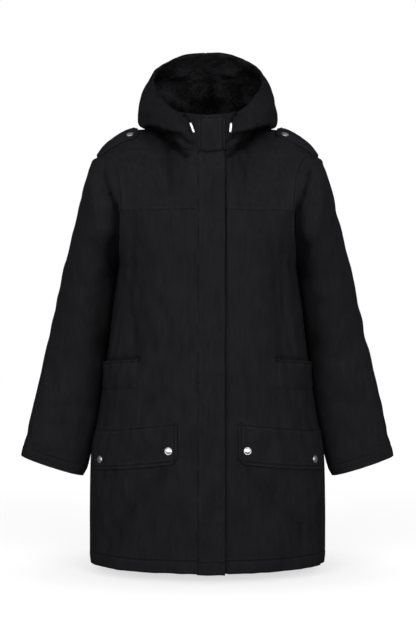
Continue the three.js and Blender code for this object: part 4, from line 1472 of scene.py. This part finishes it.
class PARKA_OT_storm_flap(Maker):
    """Makes the storm flap and its part on the hood's front"""

    bl_idname = "parka.storm_flap"
    bl_label = "Storm flap"

    def make(self, size):
        self.flap(size)
        self.part_on_hood(size)

    def flap(self, size):
        """From below the hem to the neck; it buckles in two places and stands off at its free edge."""
        wide, long = FLAP_RIGHT - FLAP_LEFT, YOKE_Z - HEM_Z + FLAP_LONGER
        x = FLAP_LEFT + wide * spaced(wide, size["cell"] * 0.7, (EDGE_STITCH,))
        z = HEM_Z - FLAP_LONGER + long * spaced(long, size["cell"] * 0.9, (HEM_STITCH,))
        v = spaced(FLAP_ABOVE_YOKE, size["cell"] * 0.9)[1:] * FLAP_TOP
        high = read_at(x, high_body(np.linspace(0, 0.6, 121), v, False))
        grid = np.concatenate([front_strip(x, z[:, None]), high])
        z = grid[..., 2]
        buckle = sum(high * np.exp(-(((z - at) / reach) ** 2)) for high, at, reach in FLAP_BUCKLES)
        rolls = (0.35 + buckle) * swell(grid * (0.5, 1, 1.4), 30, 71)
        ripples = 0.5 * swell(grid * (1, 1, 0.5), 18, 73)
        free = np.clip(((grid[..., 0] - FLAP_LEFT) / wide - 0.75) / 0.25, 0, 1)
        height = front_height(grid) + 0.8 * (rolls + ripples) + 0.9 * free**2
        cloth_piece(
            "storm_flap", grid, height, size["trim"], [("start", 3), ("bottom", HEM_STITCH)],
            lift=size["laid"], seed=72, pucker=0.9, depth=0.35, sewn=["start"], slope=15.0,
        )

    def part_on_hood(self, size):
        part = COLLAR_FLAP
        wide = part["right"] - part["left"]
        x = part["left"] + wide * spaced(wide, size["cell"] * 0.7, (EDGE_STITCH, -5))
        share = spaced(COLLAR_FLAP_LONG, size["cell"] * 0.7, (-EDGE_STITCH,))
        v = part["low"] + (part["high"] - part["low"]) * share
        grid = read_at(x, hood_surface(np.linspace(0, HOOD_SIDE / 2, 161), v))
        cloth_piece(
            "storm_flap_collar", grid, 0.5 * swell(grid, 30, 74), size["trim"],
            [("end", 5), ("top", EDGE_STITCH), ("start", EDGE_STITCH)],
            lift=size["laid"] + 0.4, seed=75, depth=0.35, sewn=["start"], slope=12.0,
        )


class PARKA_OT_pocket_flaps(Maker):
    """Makes the two pocket flaps"""

    bl_idname = "parka.pocket_flaps"
    bl_label = "Pocket flaps"

    def make(self, size):
        for name in POCKET_FLAPS:
            grid, height, lines, raising = pocket_flap(name, size)
            cloth_piece("pocket_flap_" + name, grid, height, size["trim"], lines, **raising)


class PARKA_OT_hand_pockets(Maker):
    """Makes the two side pocket welts with their open mouths"""

    bl_idname = "parka.hand_pockets"
    bl_label = "Hand pockets"

    def make(self, size):
        across, up = HAND_POCKET_SIZE
        for name, (in_x, in_top, out_top, in_low, out_low) in HAND_POCKETS.items():
            way = np.sign(in_x)
            u = spaced(across, size["cell"] * 0.8)
            v = spaced(up, size["cell"] * 0.8, (-EDGE_STITCH,))[:, None]
            z = (in_low + (out_low - in_low) * u) * (1 - v) + (in_top + (out_top - in_top) * u) * v
            wide = section(z.reshape(-1), False)[0].reshape(z.shape)
            start = np.arcsin(abs(in_x) / wide)
            grid = front_strip(way * wide * np.sin(start + (math.asin(HAND_POCKET_END) - start) * u), z)
            height = front_height(grid) + HAND_POCKET_MOUTH * v**2 * (0.2 + 0.8 * u)
            grid, height, inner, _ = towards_left(grid, height, way)
            cloth_piece(
                "hand_pocket_" + name, grid, height, size["trim"], [("top", EDGE_STITCH)], lift=size["laid"],
                seed=90 + int(way), pucker=0.35, depth=0.3, sewn=["bottom", inner], slope=12.0,
            )


class PARKA_OT_shoulder_straps(Maker):
    """Makes the two shoulder straps"""

    bl_idname = "parka.shoulder_straps"
    bl_label = "Shoulder straps"

    def make(self, size):
        grid, height = shoulder_strap(size)
        for name, side in SIDES.items():
            node = "shoulder_strap_" + name
            cloth_piece(node, grid, height, size["trim"], STRAP_LINES, mirror=side < 0, **STRAP_RAISING)


class PARKA_OT_snaps(Maker):
    """Makes the silver caps of the press snaps on the pocket flaps"""

    bl_idname = "parka.snaps"
    bl_label = "Snaps"

    def make(self, size):
        for side in POCKET_FLAPS:
            grid, height, lines, raising = pocket_flap(side, size)
            raised, _, normal, _ = raise_cloth(grid, height, size["trim"], lines, **raising)
            for node, (x, z) in FLAP_SNAPS.items():
                if side in node:
                    away = np.hypot(raised[..., 0] - x, raised[..., 2] - z)
                    i, j = np.unravel_index(np.argmin(away), away.shape)
                    snap_cap(node, np.array([x, *raised[i, j, 1:]]), normal[i, j])


class PARKA_OT_strap_snaps(Maker):
    """Makes the silver caps of the press snaps on the shoulder straps"""

    bl_idname = "parka.strap_snaps"
    bl_label = "Shoulder strap snaps"

    def make(self, size):
        grid, height = shoulder_strap(size)
        raised, _, normal, _ = raise_cloth(grid, height, size["trim"], STRAP_LINES, **STRAP_RAISING)
        j = np.argmin(np.abs(raised[len(raised) // 2, :, 0] - STRAP_SNAP_X))
        share = (STRAP_SNAP_ACROSS - STRAP["middle"] + STRAP["half"]) / (2 * STRAP["half"])
        i = round(share * (len(raised) - 1))
        for name, side in SIDES.items():
            snap_cap("snap_strap_" + name, raised[i, j] * (side, 1, 1), normal[i, j] * (side, 1, 1))


class PARKA_OT_cords(Maker):
    """Makes the two drawcords with their metal tips"""

    bl_idname = "parka.cords"
    bl_label = "Drawcords"

    def make(self, size):
        for name, cord in CORDS.items():
            route = along(np.array(cord["route"], float), np.linspace(0, 4, 17))
            piece = braid(f"cord_{name}_braid", "cord_" + name, route)
            top, end = np.array(cord["tip"], float)
            long = np.linalg.norm(end - top)
            outline = np.array(TIP_OUTLINE) * (1, long / TIP_LONG)
            foot = top + unit(end - top) * TIP_START
            tip = metal(f"cord_tip_{name}_metal", "cord_tip_" + name, outline, foot, end - top)
            tuple(float(value) for value in route[0] * MM)


def by_camera(tree, lit, seen, output):
    """Gives a tree's output one shader where the camera sees it and another for all other light."""
    mix = tree.nodes.new("ShaderNodeMixShader")
    path = tree.nodes.new("ShaderNodeLightPath")
    tree.links.new(path.outputs["Is Camera Ray"], mix.inputs[0])
    tree.links.new(lit.outputs[0], mix.inputs[1])
    tree.links.new(seen.outputs[0], mix.inputs[2])
    tree.links.new(mix.outputs[0], tree.nodes[output].inputs[0])


class PARKA_OT_stage(Maker):
    """Makes the pale floor, the soft light and the camera"""

    bl_idname = "parka.stage"
    bl_label = "Stage"

    def make(self, size):
        view = bpy.context.scene.view_settings
        view.view_transform = "Standard"
        view.look = "None"
        self.world()
        self.floor()
        for name, turn in SUN_TURNS.items():
            self.sun(name, turn)
        self.camera()

    def camera(self):
        camera = bpy.data.cameras.new("camera")
        camera.lens = CAMERA_LENS
        camera.sensor_width = 36
        camera.clip_end = 50
        holder = link("camera", camera)
        holder.location = CAMERA_PLACE
        holder.rotation_euler = (math.pi / 2, 0, 0)
        bpy.context.scene.camera = holder

    def world(self):
        """White where the camera sees it, and a weaker white light on the coat."""
        world = bpy.data.worlds.new("soft white")
        bpy.context.scene.world = world
        world.use_nodes = True
        tree = world.node_tree
        seen, lit = tree.nodes["Background"], tree.nodes.new("ShaderNodeBackground")
        for background, strength in ((seen, 1.0), (lit, WORLD_LIGHT)):
            background.inputs[0].default_value = grey(1)
            background.inputs[1].default_value = strength
        by_camera(tree, lit, seen, "World Output")

    def floor(self):
        """A pale floor with the coat's soft shadow painted into its glow. It glows to the camera only; to the
        coat it is grey.
        """
        mesh = bpy.data.meshes.new("floor")
        mesh.from_pydata([(x, y, FLOOR_Z) for x, y in FLOOR_CORNERS], [], [(0, 1, 2, 3)])
        floor = link("floor", mesh)
        shader = Shader("pale_floor")
        shader.finish(grey(FLOOR_GREY), 1.0, 0.0)
        # Painted shadow: the glow is darker in an ellipse round the coat's foot
        x, y = (place / reach for place, reach in zip(shader.axes(), PAINTED_SHADOW_REACH))
        away = (x * x + y * y) ** 0.5
        light = shader.mix(away.ramp(*PAINTED_SHADOW_FADE), grey(PAINTED_SHADOW), grey(1))
        glow = {"Base Color": grey(FLOOR_SEEN), "Roughness": 1.0, "Specular IOR Level": 0.0}
        glow.update({"Emission Color": light, "Emission Strength": FLOOR_GLOW})
        seen = shader.node("ShaderNodeBsdfPrincipled", None, glow)
        by_camera(shader.tree, shader.surface, seen, "Material Output")
        mesh.materials.append(shader.material)

    def sun(self, name, turn):
        """A wide soft sun in front of the coat, turned to one side."""
        data = bpy.data.lights.new("sun " + name, "SUN")
        data.energy = SUN_LIGHT
        data.angle = SUN_WIDE
        link("sun " + name, data).rotation_euler = (math.pi / 2 - SUN_HEIGHT, 0, turn)


class PARKA_PT_panel(bpy.types.Panel):
    """The parka's pieces in the sidebar"""

    bl_idname = "PARKA_PT_panel"
    bl_label = "Parka"
    bl_space_type = "VIEW_3D"
    bl_region_type = "UI"
    bl_category = "Parka"

    def draw(self, context):
        for group in (context.scene.parka_sizes, context.scene.parka_colours):
            for name in group.bl_rna.properties.keys():
                if name not in ("rna_type", "name"):
                    self.layout.prop(group, name)
        for operator in OPERATORS:
            self.layout.operator(operator.bl_idname)


OPERATORS = (
    PARKA_OT_stage,
    PARKA_OT_cords,
    PARKA_OT_fronts,
    PARKA_OT_yokes,
    PARKA_OT_back,
    PARKA_OT_sleeves,
    PARKA_OT_hood,
    PARKA_OT_lining,
    PARKA_OT_storm_flap,
    PARKA_OT_pocket_flaps,
    PARKA_OT_hand_pockets,
    PARKA_OT_shoulder_straps,
    PARKA_OT_snaps,
    PARKA_OT_strap_snaps,
)
CLASSES = (PARKA_PG_sizes, PARKA_PG_colours, *OPERATORS, PARKA_PT_panel)


def register():
    for cls in CLASSES:
        bpy.utils.register_class(cls)
    bpy.types.Scene.parka_sizes = bpy.props.PointerProperty(type=PARKA_PG_sizes)
    bpy.types.Scene.parka_colours = bpy.props.PointerProperty(type=PARKA_PG_colours)


def unregister():
    del bpy.types.Scene.parka_colours
    del bpy.types.Scene.parka_sizes
    for cls in reversed(CLASSES):
        bpy.utils.unregister_class(cls)


def main():
    register()
    for operator in OPERATORS:
        group, name = operator.bl_idname.split(".")
        getattr(getattr(bpy.ops, group), name)()


if __name__ == "__main__":
    main()
